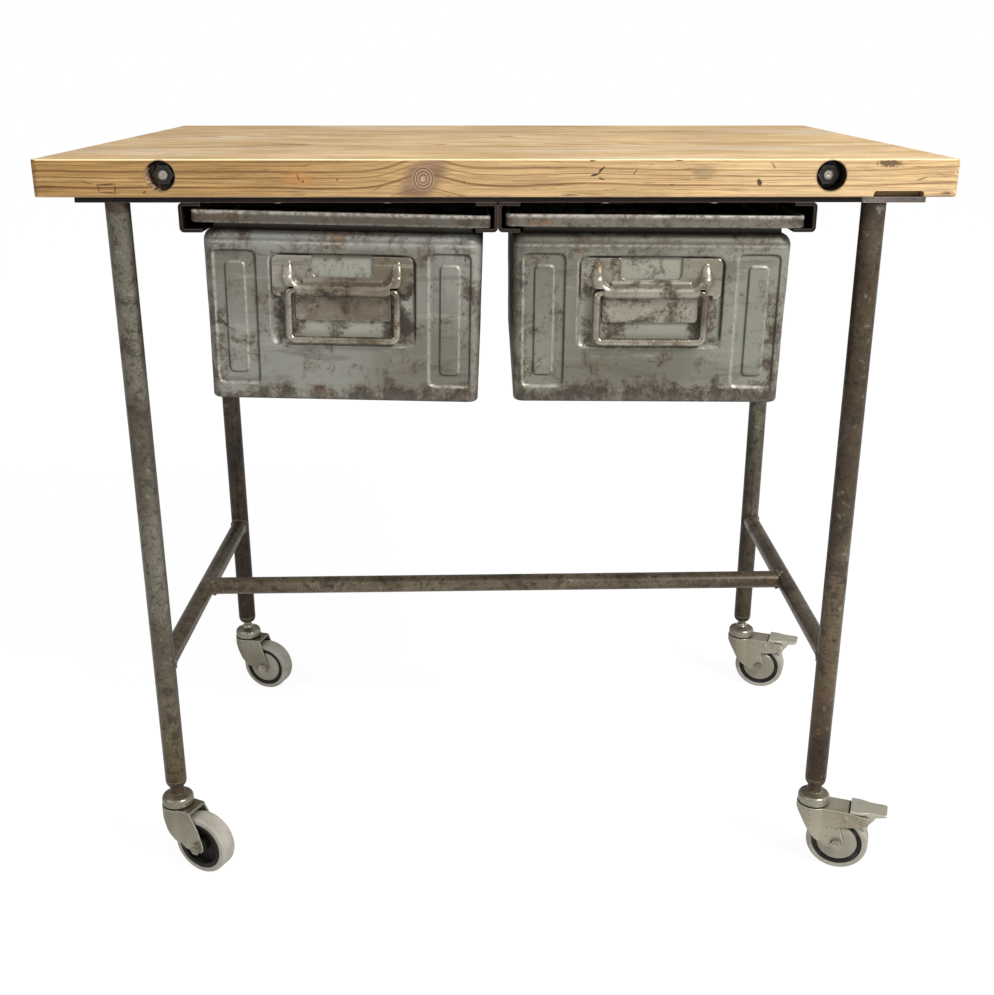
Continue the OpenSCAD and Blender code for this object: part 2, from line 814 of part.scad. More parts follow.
module brake_rivets() {
    translate([pedal_x, 0, crown_z - pedal_drop]) rotate([90, 0, 0]) {
        cylinder(r = 3, h = 2 * fork_out, center = true);
        for (s = [-1, 1]) translate([0, 0, s * (fork_out + 0.6)])
            cylinder(r = 4.5, h = 1.2, center = true);
    }
    for (s = [-1, 1]) translate([42.6, s * (fork_out + 0.6), crown_z - 8]) rotate([90, 0, 0])
        cylinder(r = 3, h = 1.2, center = true);
}

// Axle bolt with its head on the far side and its nut on the near side
module axle(t = trail) {
    color(zinc) translate([t, 0, axle_z]) {
        translate([0, fork_out + 4, 0]) rotate([90, 0, 0])
            cylinder(d = axle_d, h = 2 * fork_out + 12);
        translate([0, fork_out + 5, 0]) rotate([90, 0, 0]) hex(axle_nut_af, 5);
        translate([0, -fork_out, 0]) rotate([90, 0, 0]) hex(axle_nut_af, 6);
    }
}

module on_axle(t = trail) { translate([t, 0, axle_z]) rotate([90, 0, 0]) children(); }

hub_r = wheel_d / 2 - tread_t;
guard_z = tread_w / 2 - 2;
seat_gap = 0.1;

module hub(guarded, t = trail) {
    boss = guarded ? guard_z - 0.3 : fork_in - 0.3;
    rim = guard_d / 2 + 0.5;
    color([0.05, 0.05, 0.05]) on_axle(t) rotate_extrude() {
        translate([axle_d / 2 + pin_gap, -boss]) square([6, 2 * boss]);
        translate([axle_d / 2 + 4, -3]) square([rim - axle_d / 2 - 2, 6]);
        translate([rim, -tread_w / 2 + 0.5]) square([hub_r - seat_gap - rim, tread_w - 1]);
    }
}

module tread(t = trail) {
    r = wheel_d / 2;
    round = tread_t / 2;
    color([0.66, 0.62, 0.56]) on_axle(t) rotate_extrude() {
        translate([hub_r, -tread_w / 2]) square([tread_t - round, tread_w]);
        translate([hub_r, -tread_w / 2 + round]) square([tread_t, tread_w - 2 * round]);
        for (s = [-1, 1]) translate([r - round, s * (tread_w / 2 - round)]) circle(round);
    }
}

// Thin dished discs that cover the hub, held on the axle inside the fork
module guards() {
    color(zinc) on_axle() for (s = [0, 1]) mirror([0, 0, s]) rotate_extrude()
        polygon([[axle_d / 2 + pin_gap, guard_z], [guard_d / 2 - 3, guard_z],
            [guard_d / 2, guard_z - 1], [guard_d / 2, guard_z + 0.6],
            [guard_d / 2 - 2, fork_in - 0.8], [guard_d / 2 - 6, fork_in - 0.3],
            [axle_d / 2 + pin_gap, fork_in - 0.3]]);
}

// Plan of the pedal's pad, drawn in to its tip
module pad_plan() {
    narrow = (pad_w - pad_tip) / 4;
    side = concat([[0, pad_w / 2]],
        [for (i = [0:6]) [pad_len * (0.22 + 0.06 * i), pad_w / 2 - narrow * (1 - cos(30 * i))]],
        arc([pad_len - 4, pad_tip / 2 - 4], 4, 75, 15, 3));
    polygon(concat(side, [for (i = [len(side) - 1:-1:0]) [side[i][0], -side[i][1]]]));
}

// Brake pedal: a pad on two webs that turn on the rivet, with a lobe for the tread
module pedal() {
    z = crown_z - pedal_drop;
    web = fork_in - 0.5;
    lobe = [pedal_x + 0.5, z - 7.5];
    x0 = crown_brake + 1.5;
    x1 = x0 + pad_len;
    color(zinc) difference() {
        union() {
            translate([x0, 0, crown_z + 0.3]) linear_extrude(pad_t) pad_plan();
            for (s = [-1, 1]) across(s > 0 ? web - 3 : -web, s > 0 ? web : 3 - web) {
                translate([pedal_x, z]) circle(6);
                polygon([[pedal_x - 5.5, z + 2], [x0 + 6, crown_z + 0.5], [x1 - 4, crown_z + 0.5],
                    [x1 - 14, crown_z - 2], [pedal_x + 12, crown_z - 4.5], [pedal_x + 8, z + 1.5],
                    [pedal_x + 5.5, z - 2]]);
            }
            across(3 - web, web - 3) translate(lobe) circle(4);
            across(-web, web) translate(lobe) circle(4);
        }
        translate([pedal_x, 0, z]) rotate([90, 0, 0])
            cylinder(r = 3 + pin_gap, h = 3 * fork_out, center = true);
    }
}

module runner_at(i) {
    x = [-(2 * runner_t + bay_w), 0, 0, 2 * runner_t + bay_w][i];
    runner(bay_shift + x, i % 2 == 1);
}

top_board(1);  // top_board_1
top_board(2);  // top_board_2
top_board(3);  // top_board_3
top_board(4);  // top_board_4
top_board(5);  // top_board_5
tie_rods();
tie_rod_nuts();
tie_rod_washers();
wood_screws();
front_bar();
rear_bar();
side_bar_left();
side_bar_right();
corner_plate();
leg(-leg_x, leg_front_y);  // leg_front_left
leg(leg_x, leg_front_y);  // leg_front_right
leg(-leg_x, leg_rear_y);  // leg_rear_left
leg(leg_x, leg_rear_y);  // leg_rear_right
leg_plugs();
side_stretcher(-1);  // side_stretcher_left
side_stretcher(1);  // side_stretcher_right
cross_stretcher();
runner_at(0);  // runner_left_outer
runner_at(1);  // runner_left_inner
runner_at(2);  // runner_right_inner
runner_at(3);  // runner_right_outer
drawer_stops();
caster_heads();
place_box(-1) box_shell();  // left_box_shell
place_box(-1) straps();  // left_box_straps
place_box(-1) one_end(0) bail();  // left_front_bail
place_box(-1) one_end(180) bail();  // left_rear_bail
place_box(1) box_shell();  // right_box_shell
place_box(1) straps();  // right_box_straps
place_box(1) one_end(0) bail();  // right_front_bail
place_box(1) one_end(180) bail();  // right_rear_bail
place_caster(-leg_x, leg_front_y, lead_heading) fork(false, lead_trail);  // fork_front_left
place_caster(leg_x, leg_front_y) fork(true);  // fork_front_right
place_caster(-leg_x, leg_rear_y) fork(false);  // fork_rear_left
place_caster(leg_x, leg_rear_y) fork(true);  // fork_rear_right
place_caster(-leg_x, leg_front_y, lead_heading) axle(lead_trail);  // axle_front_left
place_caster(leg_x, leg_front_y) axle();  // axle_front_right
place_caster(-leg_x, leg_rear_y) axle();  // axle_rear_left
place_caster(leg_x, leg_rear_y) axle();  // axle_rear_right
place_caster(-leg_x, leg_front_y, lead_heading) hub(false, lead_trail);  // hub_front_left
place_caster(leg_x, leg_front_y) hub(true);  // hub_front_right
place_caster(-leg_x, leg_rear_y) hub(true);  // hub_rear_left
place_caster(leg_x, leg_rear_y) hub(true);  // hub_rear_right
place_caster(-leg_x, leg_front_y, lead_heading) tread(lead_trail);  // tread_front_left
place_caster(leg_x, leg_front_y) tread();  // tread_front_right
place_caster(-leg_x, leg_rear_y) tread();  // tread_rear_left
place_caster(leg_x, leg_rear_y) tread();  // tread_rear_right
place_caster(leg_x, leg_front_y) guards();  // guards_front_right
place_caster(-leg_x, leg_rear_y) guards();  // guards_rear_left
place_caster(leg_x, leg_rear_y) guards();  // guards_rear_right
place_caster(leg_x, leg_front_y) pedal();  // pedal_front_right
place_caster(leg_x, leg_rear_y) pedal();  // pedal_rear_right
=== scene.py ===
import math
from functools import reduce

import bmesh
import bpy
import numpy as np
from mathutils import Matrix, Vector


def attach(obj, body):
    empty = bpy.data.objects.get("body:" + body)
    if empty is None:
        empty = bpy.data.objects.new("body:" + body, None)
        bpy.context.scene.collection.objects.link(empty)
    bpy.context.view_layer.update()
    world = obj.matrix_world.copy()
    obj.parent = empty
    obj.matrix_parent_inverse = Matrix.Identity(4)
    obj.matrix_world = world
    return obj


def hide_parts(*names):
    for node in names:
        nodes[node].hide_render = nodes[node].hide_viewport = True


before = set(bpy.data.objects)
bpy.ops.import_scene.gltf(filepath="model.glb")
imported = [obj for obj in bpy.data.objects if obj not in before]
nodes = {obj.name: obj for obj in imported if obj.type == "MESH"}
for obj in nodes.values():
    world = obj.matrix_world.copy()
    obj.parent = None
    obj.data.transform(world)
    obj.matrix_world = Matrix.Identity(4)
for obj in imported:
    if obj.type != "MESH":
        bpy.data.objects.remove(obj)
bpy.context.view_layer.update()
scene = bpy.context.scene


# Studio: the table stands on a plain white floor. One big soft lamp hangs above and to its right and a
# weaker one to its left, in a room that is bright on the big lamp's side and dim behind the table. The
# camera stands where the photograph was taken, a metre above the floor.
scene.view_settings.view_transform = "Standard"

camera = bpy.data.objects.new("camera", bpy.data.cameras.new("camera"))
camera.data.sensor_width = 36.0
camera.data.lens = 44.34
camera.data.clip_end = 50.0
camera.location = (-0.0056, -1.7058, 1.0010)
camera.rotation_euler = (math.radians(70.30), 0.0, math.radians(-0.272))
scene.collection.objects.link(camera)
scene.camera = camera

bench = {}


class Signal:
    """What a shader node puts out. Arithmetic on signals adds Math nodes to the tree on the bench."""

    def __init__(self, socket):
        self.socket = socket

    def __add__(self, other):
        return calc("ADD", self, other)

    def __sub__(self, other):
        return calc("SUBTRACT", self, other)

    def __rsub__(self, other):
        return calc("SUBTRACT", other, self)

    def __mul__(self, other):
        return calc("MULTIPLY", self, other)

    def __truediv__(self, other):
        return calc("DIVIDE", self, other)


def feed(made, sockets):
    """Gives a node's inputs their values: numbers, vectors, colours or signals."""
    for key, value in sockets.items():
        socket = made.inputs[key]
        if isinstance(value, Signal):
            bench["tree"].links.new(value.socket, socket)
        else:
            socket.default_value = (*value, 1.0) if socket.type == "RGBA" else value


def node(kind, sockets=None, out=0, **settings):
    """Adds a shader node to the tree on the bench. Returns the output asked for, or several."""
    made = bench["tree"].nodes.new("ShaderNode" + kind)
    for key, value in settings.items():
        setattr(made, key, value)
    feed(made, sockets or {})
    if isinstance(out, tuple):
        return [Signal(made.outputs[label]) for label in out]
    return Signal(made.outputs[out]) if len(made.outputs) else None


def calc(operation, *values, clamp=False):
    """One step of arithmetic on numbers or signals."""
    return node("Math", dict(enumerate(values)), operation=operation, use_clamp=clamp)


def largest(*signals):
    """The largest of several signals."""
    return reduce(lambda first, second: calc("MAXIMUM", first, second), signals)


def spread(value, low, high, out_low=0.0, out_high=1.0):
    """Maps low...high to out_low...out_high and holds the ends."""
    return node("MapRange", {0: value, 1: low, 2: high, 3: out_low, 4: out_high}, interpolation_type="SMOOTHSTEP")


def new_material(name):
    """An empty material, whose tree goes on the bench."""
    made = bpy.data.materials.new(name)
    made.use_nodes = True
    made.node_tree.nodes.clear()
    bench["tree"] = made.node_tree
    return made


def soft_lamp(name, place, aim, size, watts):
    """A square lamp that looks from its place to its aim."""
    lamp = bpy.data.objects.new(name, bpy.data.lights.new(name, "AREA"))
    lamp.data.size = size
    lamp.data.energy = watts
    lamp.location = place
    lamp.rotation_euler = (Vector(aim) - Vector(place)).to_track_quat("-Z", "Y").to_euler()
    scene.collection.objects.link(lamp)


soft_lamp("main_lamp", (1.9, -2.0, 2.7), (0.0, -0.3, 0.6), 0.65, 110)
soft_lamp("side_lamp", (-2.6, -1.5, 2.0), (0.0, -0.2, 0.6), 1.4, 10)

sky = bpy.data.worlds.new("studio")
scene.world = sky
sky.use_nodes = True
sky.node_tree.nodes.clear()
bench["tree"] = sky.node_tree
seen, mirrored, through = node("LightPath", out=("Is Camera Ray", "Is Glossy Ray", "Is Transmission Ray"))
lamp_side = node("VectorMath", {0: node("TexCoord", out="Generated"), 1: (0.40, -0.60, 0.69)}, "Value",
                 operation="DOT_PRODUCT")
level = largest(seen, through, mirrored * 0.26, spread(lamp_side, -0.6, 0.95, 0.16, 0.80))
node("OutputWorld", {"Surface": node("Background", {"Color": (1, 1, 1), "Strength": level})})

FLOOR_REACH = 8
floor_mesh = bpy.data.meshes.new("floor")
floor_mesh.from_pydata([(x * FLOOR_REACH, y * FLOOR_REACH, 0) for x, y in ((-1, -1), (1, -1), (1, 1), (-1, 1))],
                       [], [(0, 1, 2, 3)])
floor = bpy.data.objects.new("floor", floor_mesh)
scene.collection.objects.link(floor)
floor_mesh.materials.append(new_material("floor_paint"))
seen, through = node("LightPath", out=("Is Camera Ray", "Is Transmission Ray"))
matt = node("BsdfPrincipled", {"Base Color": (0.72, 0.72, 0.72), "Roughness": 0.9})
white = node("Emission", {"Color": (1, 1, 1), "Strength": 1.12})
node("OutputMaterial", {"Surface": node("MixShader", {0: largest(seen, through) * 0.82, 1: matt, 2: white})})


# Table top: five boards of softwood, planed, oiled once and used for years. Each is a real board with
# its own growth rings. The front one carries a knot, a few cracks and scars.
TOP_FRONT_Y, BOARD_W = -0.35, 0.14
ROD_X, ROD_Z, BORE_R = 0.361, 0.8825, 0.0166
KNOT_X, KNOT_Z = -0.0785, 0.880
THROUGH = 0.2


def group(name, inputs, outputs):
    """Puts a new shader node group with named sockets on the bench. Returns it and its inputs."""
    made = bpy.data.node_groups.new(name, "ShaderNodeTree")
    for label, value in inputs:
        kind = "NodeSocketVector" if isinstance(value, tuple) else "NodeSocketFloat"
        made.interface.new_socket(label, in_out="INPUT", socket_type=kind).default_value = value
    for label in outputs:
        made.interface.new_socket(label, in_out="OUTPUT", socket_type="NodeSocketFloat")
    bench["tree"], bench["result"] = made, made.nodes.new("NodeGroupOutput")
    entry = made.nodes.new("NodeGroupInput")
    return made, {label: Signal(entry.outputs[label]) for label, value in inputs}


def use(made, **sockets):
    """Places a group in the tree on the bench with its own values. Returns its outputs by name."""
    placed = bench["tree"].nodes.new("ShaderNodeGroup")
    placed.node_tree = made
    feed(placed, sockets)
    return {socket.name: Signal(socket) for socket in placed.outputs}


def stretch(vector, scale):
    """The vector times a scale along each axis."""
    return node("VectorMath", {0: vector, 1: scale}, operation="MULTIPLY")


def cloud(vector, scale, detail=3.0, rough=0.55, distort=0.0):
    """Soft noise from 0 to 1."""
    return node("TexNoise", {"Vector": vector, "Scale": scale, "Detail": detail, "Roughness": rough,
                             "Distortion": distort}, "Fac")


def blend(share, first, second, how="MIX"):
    """Mixes two colours by a share."""
    return node("Mix", {0: share, 6: first, 7: second}, 2, data_type="RGBA", blend_type=how)


def shade(colour, share):
    """A colour times a share."""
    return tuple(value * share for value in colour)


pine_rings, given = group(
    "pine_rings", (("Vector", (0, 0, 0)), ("Pith_Y", 0.0), ("Pith_Z", 0.8), ("Spacing", 0.007), ("Waver", 0.008),
                   ("Lift", 0.0), ("Seed", 0.0)), ("Rings", "Fibre", "Mottle", "Streak"))
shifted = node("VectorMath", {0: given["Vector"], 1: node("CombineXYZ", {0: given["Seed"]})}, operation="ADD")
y, z = node("SeparateXYZ", {0: given["Vector"]}, ("Y", "Z"))
across, above = y - given["Pith_Y"], z - given["Lift"] - given["Pith_Z"]
radius = calc("SQRT", across * across + above * above)
slow_wave = cloud(stretch(shifted, (2.2, 6.0, 6.0)), 1.0, 2.0, 0.5)
quick_wave = cloud(stretch(shifted, (16.0, 40.0, 40.0)), 1.0, 2.0, 0.5)
radius = radius + (slow_wave - 0.5) * (given["Waver"] * 5.0) + (quick_wave - 0.5) * 0.0022
turns = radius / given["Spacing"]
uneven = node("TexNoise", {"W": turns + given["Seed"], "Scale": 0.45, "Detail": 1.0}, "Fac", noise_dimensions="1D")
turns = turns + uneven * 2.2
phase = calc("FRACT", turns)
late = spread(phase, 0.45, 0.92) * spread(phase, 1.0, 0.95)
strength = node("TexNoise", {"W": turns, "Scale": 0.8, "Detail": 0.0}, "Fac", noise_dimensions="1D")
feed(bench["result"], {
    "Rings": late * spread(strength, 0.3, 0.7, 0.25, 1.0),
    "Fibre": cloud(stretch(shifted, (9.0, 520.0, 520.0)), 1.0, 4.0, 0.7),
    "Mottle": cloud(stretch(shifted, (5.0, 9.0, 9.0)), 1.0, 4.0, 0.6),
    "Streak": cloud(stretch(shifted, (4.0, 95.0, 95.0)), 1.0, 5.0, 0.65, 0.3)})

spot_mark, given = group(
    "spot_mark", (("Vector", (0, 0, 0)), ("Centre", (0, 0, 0)), ("Half_Size", (0.01, 0.01, 0.01)), ("Turn", 0.0),
                  ("Ragged", 0.3), ("Soft", 0.4)), ("Mask", "Distance"))
moved = node("VectorMath", {0: given["Vector"], 1: given["Centre"]}, operation="SUBTRACT")
turned = node("VectorRotate", {"Vector": moved, "Angle": given["Turn"]}, rotation_type="Y_AXIS")
scaled = node("VectorMath", {0: turned, 1: given["Half_Size"]}, operation="DIVIDE")
reach = node("VectorMath", {0: scaled}, "Value", operation="LENGTH")
reach = reach + (cloud(given["Vector"], 400.0, 6.0, 0.75) - 0.5) * given["Ragged"]
feed(bench["result"], {"Distance": reach, "Mask": spread(reach, given["Soft"] + 1.0, 1.0 - given["Soft"])})

edge_wear, given = group("edge_wear", (("Radius", 0.002), ("Vector", (0, 0, 0)), ("Ragged", 0.5)), ("Mask",))
eased = node("Bevel", {"Radius": given["Radius"]}, samples=6)
agree = node("VectorMath", {0: node("NewGeometry", out="Normal"), 1: eased}, "Value", operation="DOT_PRODUCT")
ragged = (cloud(given["Vector"], 140.0, 4.0, 0.7) - 0.5) * given["Ragged"]
feed(bench["result"], {"Mask": spread((1.0 - agree) * 5.0 + ragged, 0.15, 0.6)})


def finish_material(colour, roughness, metal, height, bump, level=0.5):
    """The Principled shader at the end of each material, with its bump and its specular level."""
    lift = node("Bump", {"Strength": bump, "Distance": 0.001, "Height": height})
    shader = node("BsdfPrincipled", {"Base Color": colour, "Roughness": roughness, "Metallic": metal,
                                     "Specular IOR Level": level, "Normal": lift})
    node("OutputMaterial", {"Surface": shader})


def wear(material, *node_names):
    """Puts a material on CAD nodes."""
    for name in node_names:
        for held in nodes[name].material_slots:
            held.material = material


# Marks on the front edge, in millimetres: across, up, half width, half height, turn in radians, how ragged
# and how soft, colour, and share.
MARKS = ((-79.0, 879.2, 1.8, 2.6, 0.0, 0.3, 0.3, (0.80, 0.60, 0.42), 0.8),
         (-213, 880, 16, 8, 0.0, 0.6, 0.6, (0.82, 0.38, 0.10), 0.45),
         (-213, 881, 0.6, 4.5, 0.25, 0.3, 0.4, (0.14, 0.06, 0.02), 0.9),
         (-208, 876.5, 1.2, 1.2, 0.25, 0.8, 0.4, (0.16, 0.07, 0.02), 0.9),
         (-171, 878.5, 1.4, 1.0, 0.25, 0.9, 0.4, (0.16, 0.07, 0.02), 0.8),
         (-34.5, 875.5, 0.9, 0.9, 0.0, 0.8, 0.4, (0.08, 0.035, 0.01), 0.95),
         (-128, 869.5, 6.0, 0.6, 0.35, 0.6, 0.4, (0.20, 0.10, 0.04), 0.7),
         (113, 889, 4.6, 1.2, 0.75, 0.9, 0.4, (0.10, 0.045, 0.02), 0.95),
         (106, 883.5, 5.0, 1.1, 0.25, 1.0, 0.4, (0.09, 0.04, 0.018), 0.95),
         (103, 898.5, 3.0, 1.2, 0.0, 1.1, 0.4, (0.10, 0.045, 0.02), 0.9),
         (196, 899, 3.5, 1.1, 0.0, 1.1, 0.4, (0.10, 0.045, 0.02), 0.9),
         (283.5, 875.5, 2.4, 4.0, 0.45, 0.9, 0.4, (0.08, 0.035, 0.015), 0.95),
         (297.5, 893, 4.0, 0.7, -0.9, 0.6, 0.4, (0.22, 0.10, 0.05), 0.8),
         (458, 879, 6, 0.7, 0.3, 0.5, 0.5, (0.25, 0.12, 0.06), 0.8),
         (223, 886, 12, 7.5, 0.0, 0.9, 0.6, (0.34, 0.24, 0.13), 0.45),
         (422, 895.5, 12, 3.6, 0.0, 1.5, 0.35, (0.13, 0.07, 0.035), 0.85),
         (-419.5, 873.5, 9.5, 0.9, 0.06, 1.3, 0.5, (0.15, 0.08, 0.035), 0.9),
         (-418.5, 865, 8.5, 0.8, -0.05, 1.3, 0.5, (0.15, 0.08, 0.035), 0.8),
         (-428.5, 870, 0.9, 4.2, 0.15, 1.2, 0.5, (0.15, 0.08, 0.035), 0.8),
         (-410.5, 868.5, 0.9, 4.0, -0.2, 1.2, 0.5, (0.15, 0.08, 0.035), 0.8),
         (-440, 875.5, 6.0, 0.7, -0.25, 1.4, 0.5, (0.15, 0.08, 0.035), 0.7),
         (-379, 865.5, 2.2, 0.9, 0.4, 1.0, 0.4, (0.12, 0.06, 0.03), 0.9),
         (113, 879.5, 3.0, 1.0, -0.3, 1.2, 0.4, (0.10, 0.045, 0.02), 0.9),
         (149, 886, 3.5, 0.6, 0.9, 0.8, 0.4, (0.14, 0.07, 0.03), 0.8),
         (189, 873, 2.2, 0.8, 0.0, 1.2, 0.4, (0.10, 0.05, 0.02), 0.8),
         (487, 864, 6, 1.2, 0.0, 1.6, 0.5, (0.20, 0.10, 0.05), 0.8),
         (80, 862.2, 8, 1.2, 0.0, 1.6, 0.5, (0.20, 0.10, 0.05), 0.7))
DEEP_MARK = 0.8


def pine(number, pith_y, pith_z, spacing, tone):
    """Pine for one board. The top face is dry and streaky, the front is honey brown with painted shade that darkens
    it to the left, and the rounded front edges carry a painted highlight.
    """
    made = new_material("pine_board_%d" % number)
    place = node("TexCoord", out="Object")
    x, y, z = node("SeparateXYZ", {0: place}, ("X", "Y", "Z"))
    facing_up = node("SeparateXYZ", {0: node("NewGeometry", out="Normal")}, "Z")
    upright = spread(calc("ABSOLUTE", facing_up), 0.8, 0.3)
    lift = 0.0
    if number == 1:
        side = (x - KNOT_X) / 0.036
        lift = calc("EXPONENT", side * side * -1.0) * (upright * 0.012)
    grain = use(pine_rings, Vector=place, Pith_Y=pith_y, Pith_Z=pith_z, Spacing=spacing, Waver=0.006,
                Seed=number * 3.7, Lift=lift)
    pale = blend(spread(grain["Mottle"], 0.34, 0.66), (0.62, 0.42, 0.20), (0.80, 0.59, 0.33))
    pale = blend(spread(cloud(stretch(place, (3.0, 8.0, 8.0)), 1.0, 4.0), 0.50, 0.72, 0.0, 0.75), pale,
                 (0.78, 0.66, 0.50))
    pale = blend(spread(grain["Streak"], 0.54, 0.68, 0.0, 0.85), pale, (0.40, 0.245, 0.115))
    pale = blend(spread(grain["Streak"], 0.45, 0.30, 0.0, 0.75), pale, (0.90, 0.73, 0.46))
    # Painted shade: the front's honey brown runs darker towards the left, away from the main lamp.
    along = spread(x, -0.52, 0.48)
    honey = blend(along, (0.385, 0.220, 0.073), (0.625, 0.430, 0.222))
    honey = blend(spread(grain["Mottle"], 0.40, 0.70, 0.0, 0.6), honey,
                  blend(along, (0.300, 0.160, 0.047), (0.510, 0.320, 0.140)))
    honey = blend(spread(grain["Streak"], 0.54, 0.70, 0.0, 0.5), honey, (0.25, 0.135, 0.048))
    honey = blend(spread(grain["Streak"], 0.44, 0.30, 0.0, 0.4), honey, (0.66, 0.47, 0.23))
    base = blend(upright, pale, honey)
    ring_tone = blend(upright, (0.56, 0.42, 0.27), (0.34, 0.215, 0.105))
    base = blend(grain["Rings"] * spread(x, -0.15, 0.40, 0.92, 0.66), base, ring_tone, "MULTIPLY")
    dashes = cloud(stretch(place, (26.0, 420.0, 420.0)), 1.0, 3.0, 0.6)
    dashes = spread(dashes, 0.575, 0.665) * spread(grain["Mottle"], 0.40, 0.60, 0.30, 1.0)
    base = blend(dashes * spread(upright, 0.0, 1.0, 0.85, 0.65), base, (0.36, 0.23, 0.12), "MULTIPLY")
    streak = spread(grain["Fibre"], 0.30, 0.70, 0.58, 1.22)
    base = blend(1.0, base, node("CombineColor", {0: streak, 1: streak, 2: streak}), "MULTIPLY")
    base = blend(1.0, base, (tone, tone, tone), "MULTIPLY")
    scars, uneven = [], (cloud(place, 420.0, 2.0) - 0.5) * 0.16
    for scale, narrow, chance, small, depth in ((48.0, 3.2, 0.86, 0.10, 0.75), (30.0, 6.5, 0.78, 0.07, 0.7),
                                                (95.0, 1.8, 0.84, 0.15, 0.7), (210.0, 2.2, 0.90, 0.22, 0.6)):
        draw, away = node("TexVoronoi", {"Vector": stretch(place, (1.0, narrow, narrow)), "Scale": scale,
                                         "Randomness": 1.0}, ("Color", "Distance"))
        rare = spread(node("SeparateColor", {0: draw}), chance, chance + 0.03)
        scars.append(spread(away + uneven, small, small * 0.4) * rare * depth)
    dents = largest(*scars) * spread(upright, 0.0, 1.0, 1.0, 0.55)
    base = blend(dents, base, (0.075, 0.036, 0.015))
    middle_y = TOP_FRONT_Y + BOARD_W * (number - 0.5)
    seam = spread(BOARD_W / 2 - calc("ABSOLUTE", y - middle_y), 0.0012, 0.0002) * (1.0 - upright)
    if number in (1, 5):
        outer = TOP_FRONT_Y if number == 1 else -TOP_FRONT_Y
        seam = seam * spread(calc("ABSOLUTE", y - outer), 0.01, 0.02)
    base = blend(seam * 0.65, base, (0.16, 0.09, 0.05))
    eased = use(edge_wear, Radius=0.0026, Vector=place, Ragged=0.5)["Mask"]
    base = blend(eased * 0.45, base, (0.80, 0.58, 0.29))
    # Painted highlight on the rounded edges, where the face turns from up to front.
    edge_highlight = spread(facing_up, 0.10, 0.40) * spread(facing_up, 0.999, 0.96)
    base = blend(edge_highlight * 0.85, base, (0.93, 0.75, 0.42))
    height = grain["Fibre"] * 0.35 + grain["Rings"] * 0.25 - (seam + dents)
    if number in (1, 5):
        offset, rise = calc("ABSOLUTE", x) - ROD_X, z - ROD_Z
        hole = calc("SQRT", offset * offset + rise * rise)
        deep = 0.3497 - calc("ABSOLUTE", y)
        # Painted shade in the bores of the tie rods: a nearly black wall, with a painted lit patch on one side.
        bore_light_and_shade = spread(hole, BORE_R + 0.0002, BORE_R - 0.0002) * spread(deep, 0.0, 0.0006)
        torn = cloud(stretch(place, (1.0, 0.35, 1.0)), 260.0, 4.0, 0.7)
        lit = spread(rise * 0.5 + x, -0.367, -0.374) * spread(torn, 0.42, 0.56)
        wall = blend(spread(torn, 0.5, 0.75, 0.0, 0.5), (0.022, 0.014, 0.010), (0.10, 0.06, 0.03))
        base = blend(bore_light_and_shade, base, blend(lit, wall, (0.50, 0.33, 0.19)))
        rim = spread(calc("ABSOLUTE", hole - BORE_R), torn * 0.0028, 0.0) * spread(deep, 0.002, 0.0)
        base = blend(rim * 0.7, base, (0.16, 0.085, 0.04))
    if number == 1:
        leaned = node("CombineXYZ", {0: x + (z - KNOT_Z) * -0.55, 1: TOP_FRONT_Y, 2: z})
        heart = use(spot_mark, Vector=leaned, Centre=(KNOT_X, TOP_FRONT_Y, KNOT_Z),
                    Half_Size=(0.021, THROUGH, 0.025), Ragged=0.7, Soft=0.35)["Mask"] * upright
        base = blend(heart * 0.72, base, blend(
            spread(grain["Streak"], 0.35, 0.65), (0.125, 0.068, 0.046), (0.215, 0.128, 0.086)))
        knot = use(spot_mark, Vector=place, Centre=(KNOT_X, TOP_FRONT_Y, KNOT_Z - 0.0005),
                   Half_Size=(0.0118, THROUGH, 0.0128), Ragged=0.16, Soft=0.1)
        ripple = spread(calc("SINE", knot["Distance"] * 24.0), -0.4, 0.8)
        base = blend(knot["Mask"] * upright * 0.8, base,
                     blend(ripple, (0.36, 0.235, 0.14), (0.105, 0.056, 0.032)))
        for mark_x, mark_z, half_w, half_h, turn, ragged, soft, colour, share in MARKS:
            mark = use(spot_mark, Vector=place, Centre=(mark_x / 1000, TOP_FRONT_Y, mark_z / 1000),
                       Half_Size=(half_w / 1000, THROUGH, half_h / 1000), Turn=turn, Ragged=ragged * 2.6,
                       Soft=soft * 0.6)["Mask"] * upright
            base = blend(mark * share, base, shade(colour, 0.55))
            if share >= DEEP_MARK:
                height = height - mark * 0.8
    finish_material(base, spread(grain["Mottle"], 0.3, 0.7, 0.54, 0.68), 0.0, height, 0.5, 0.35)
    return made


for number, pith_y, pith_z, spacing, tone in ((1, -0.372, 0.792, 0.0052, 1.0), (2, -0.10, 0.77, 0.0061, 0.97),
                                              (3, 0.06, 0.80, 0.0054, 1.02), (4, 0.10, 0.79, 0.0059, 0.98),
                                              (5, 0.33, 0.80, 0.0055, 1.0)):
    wear(pine(number, pith_y, pith_z, spacing, tone), "top_board_%d" % number)


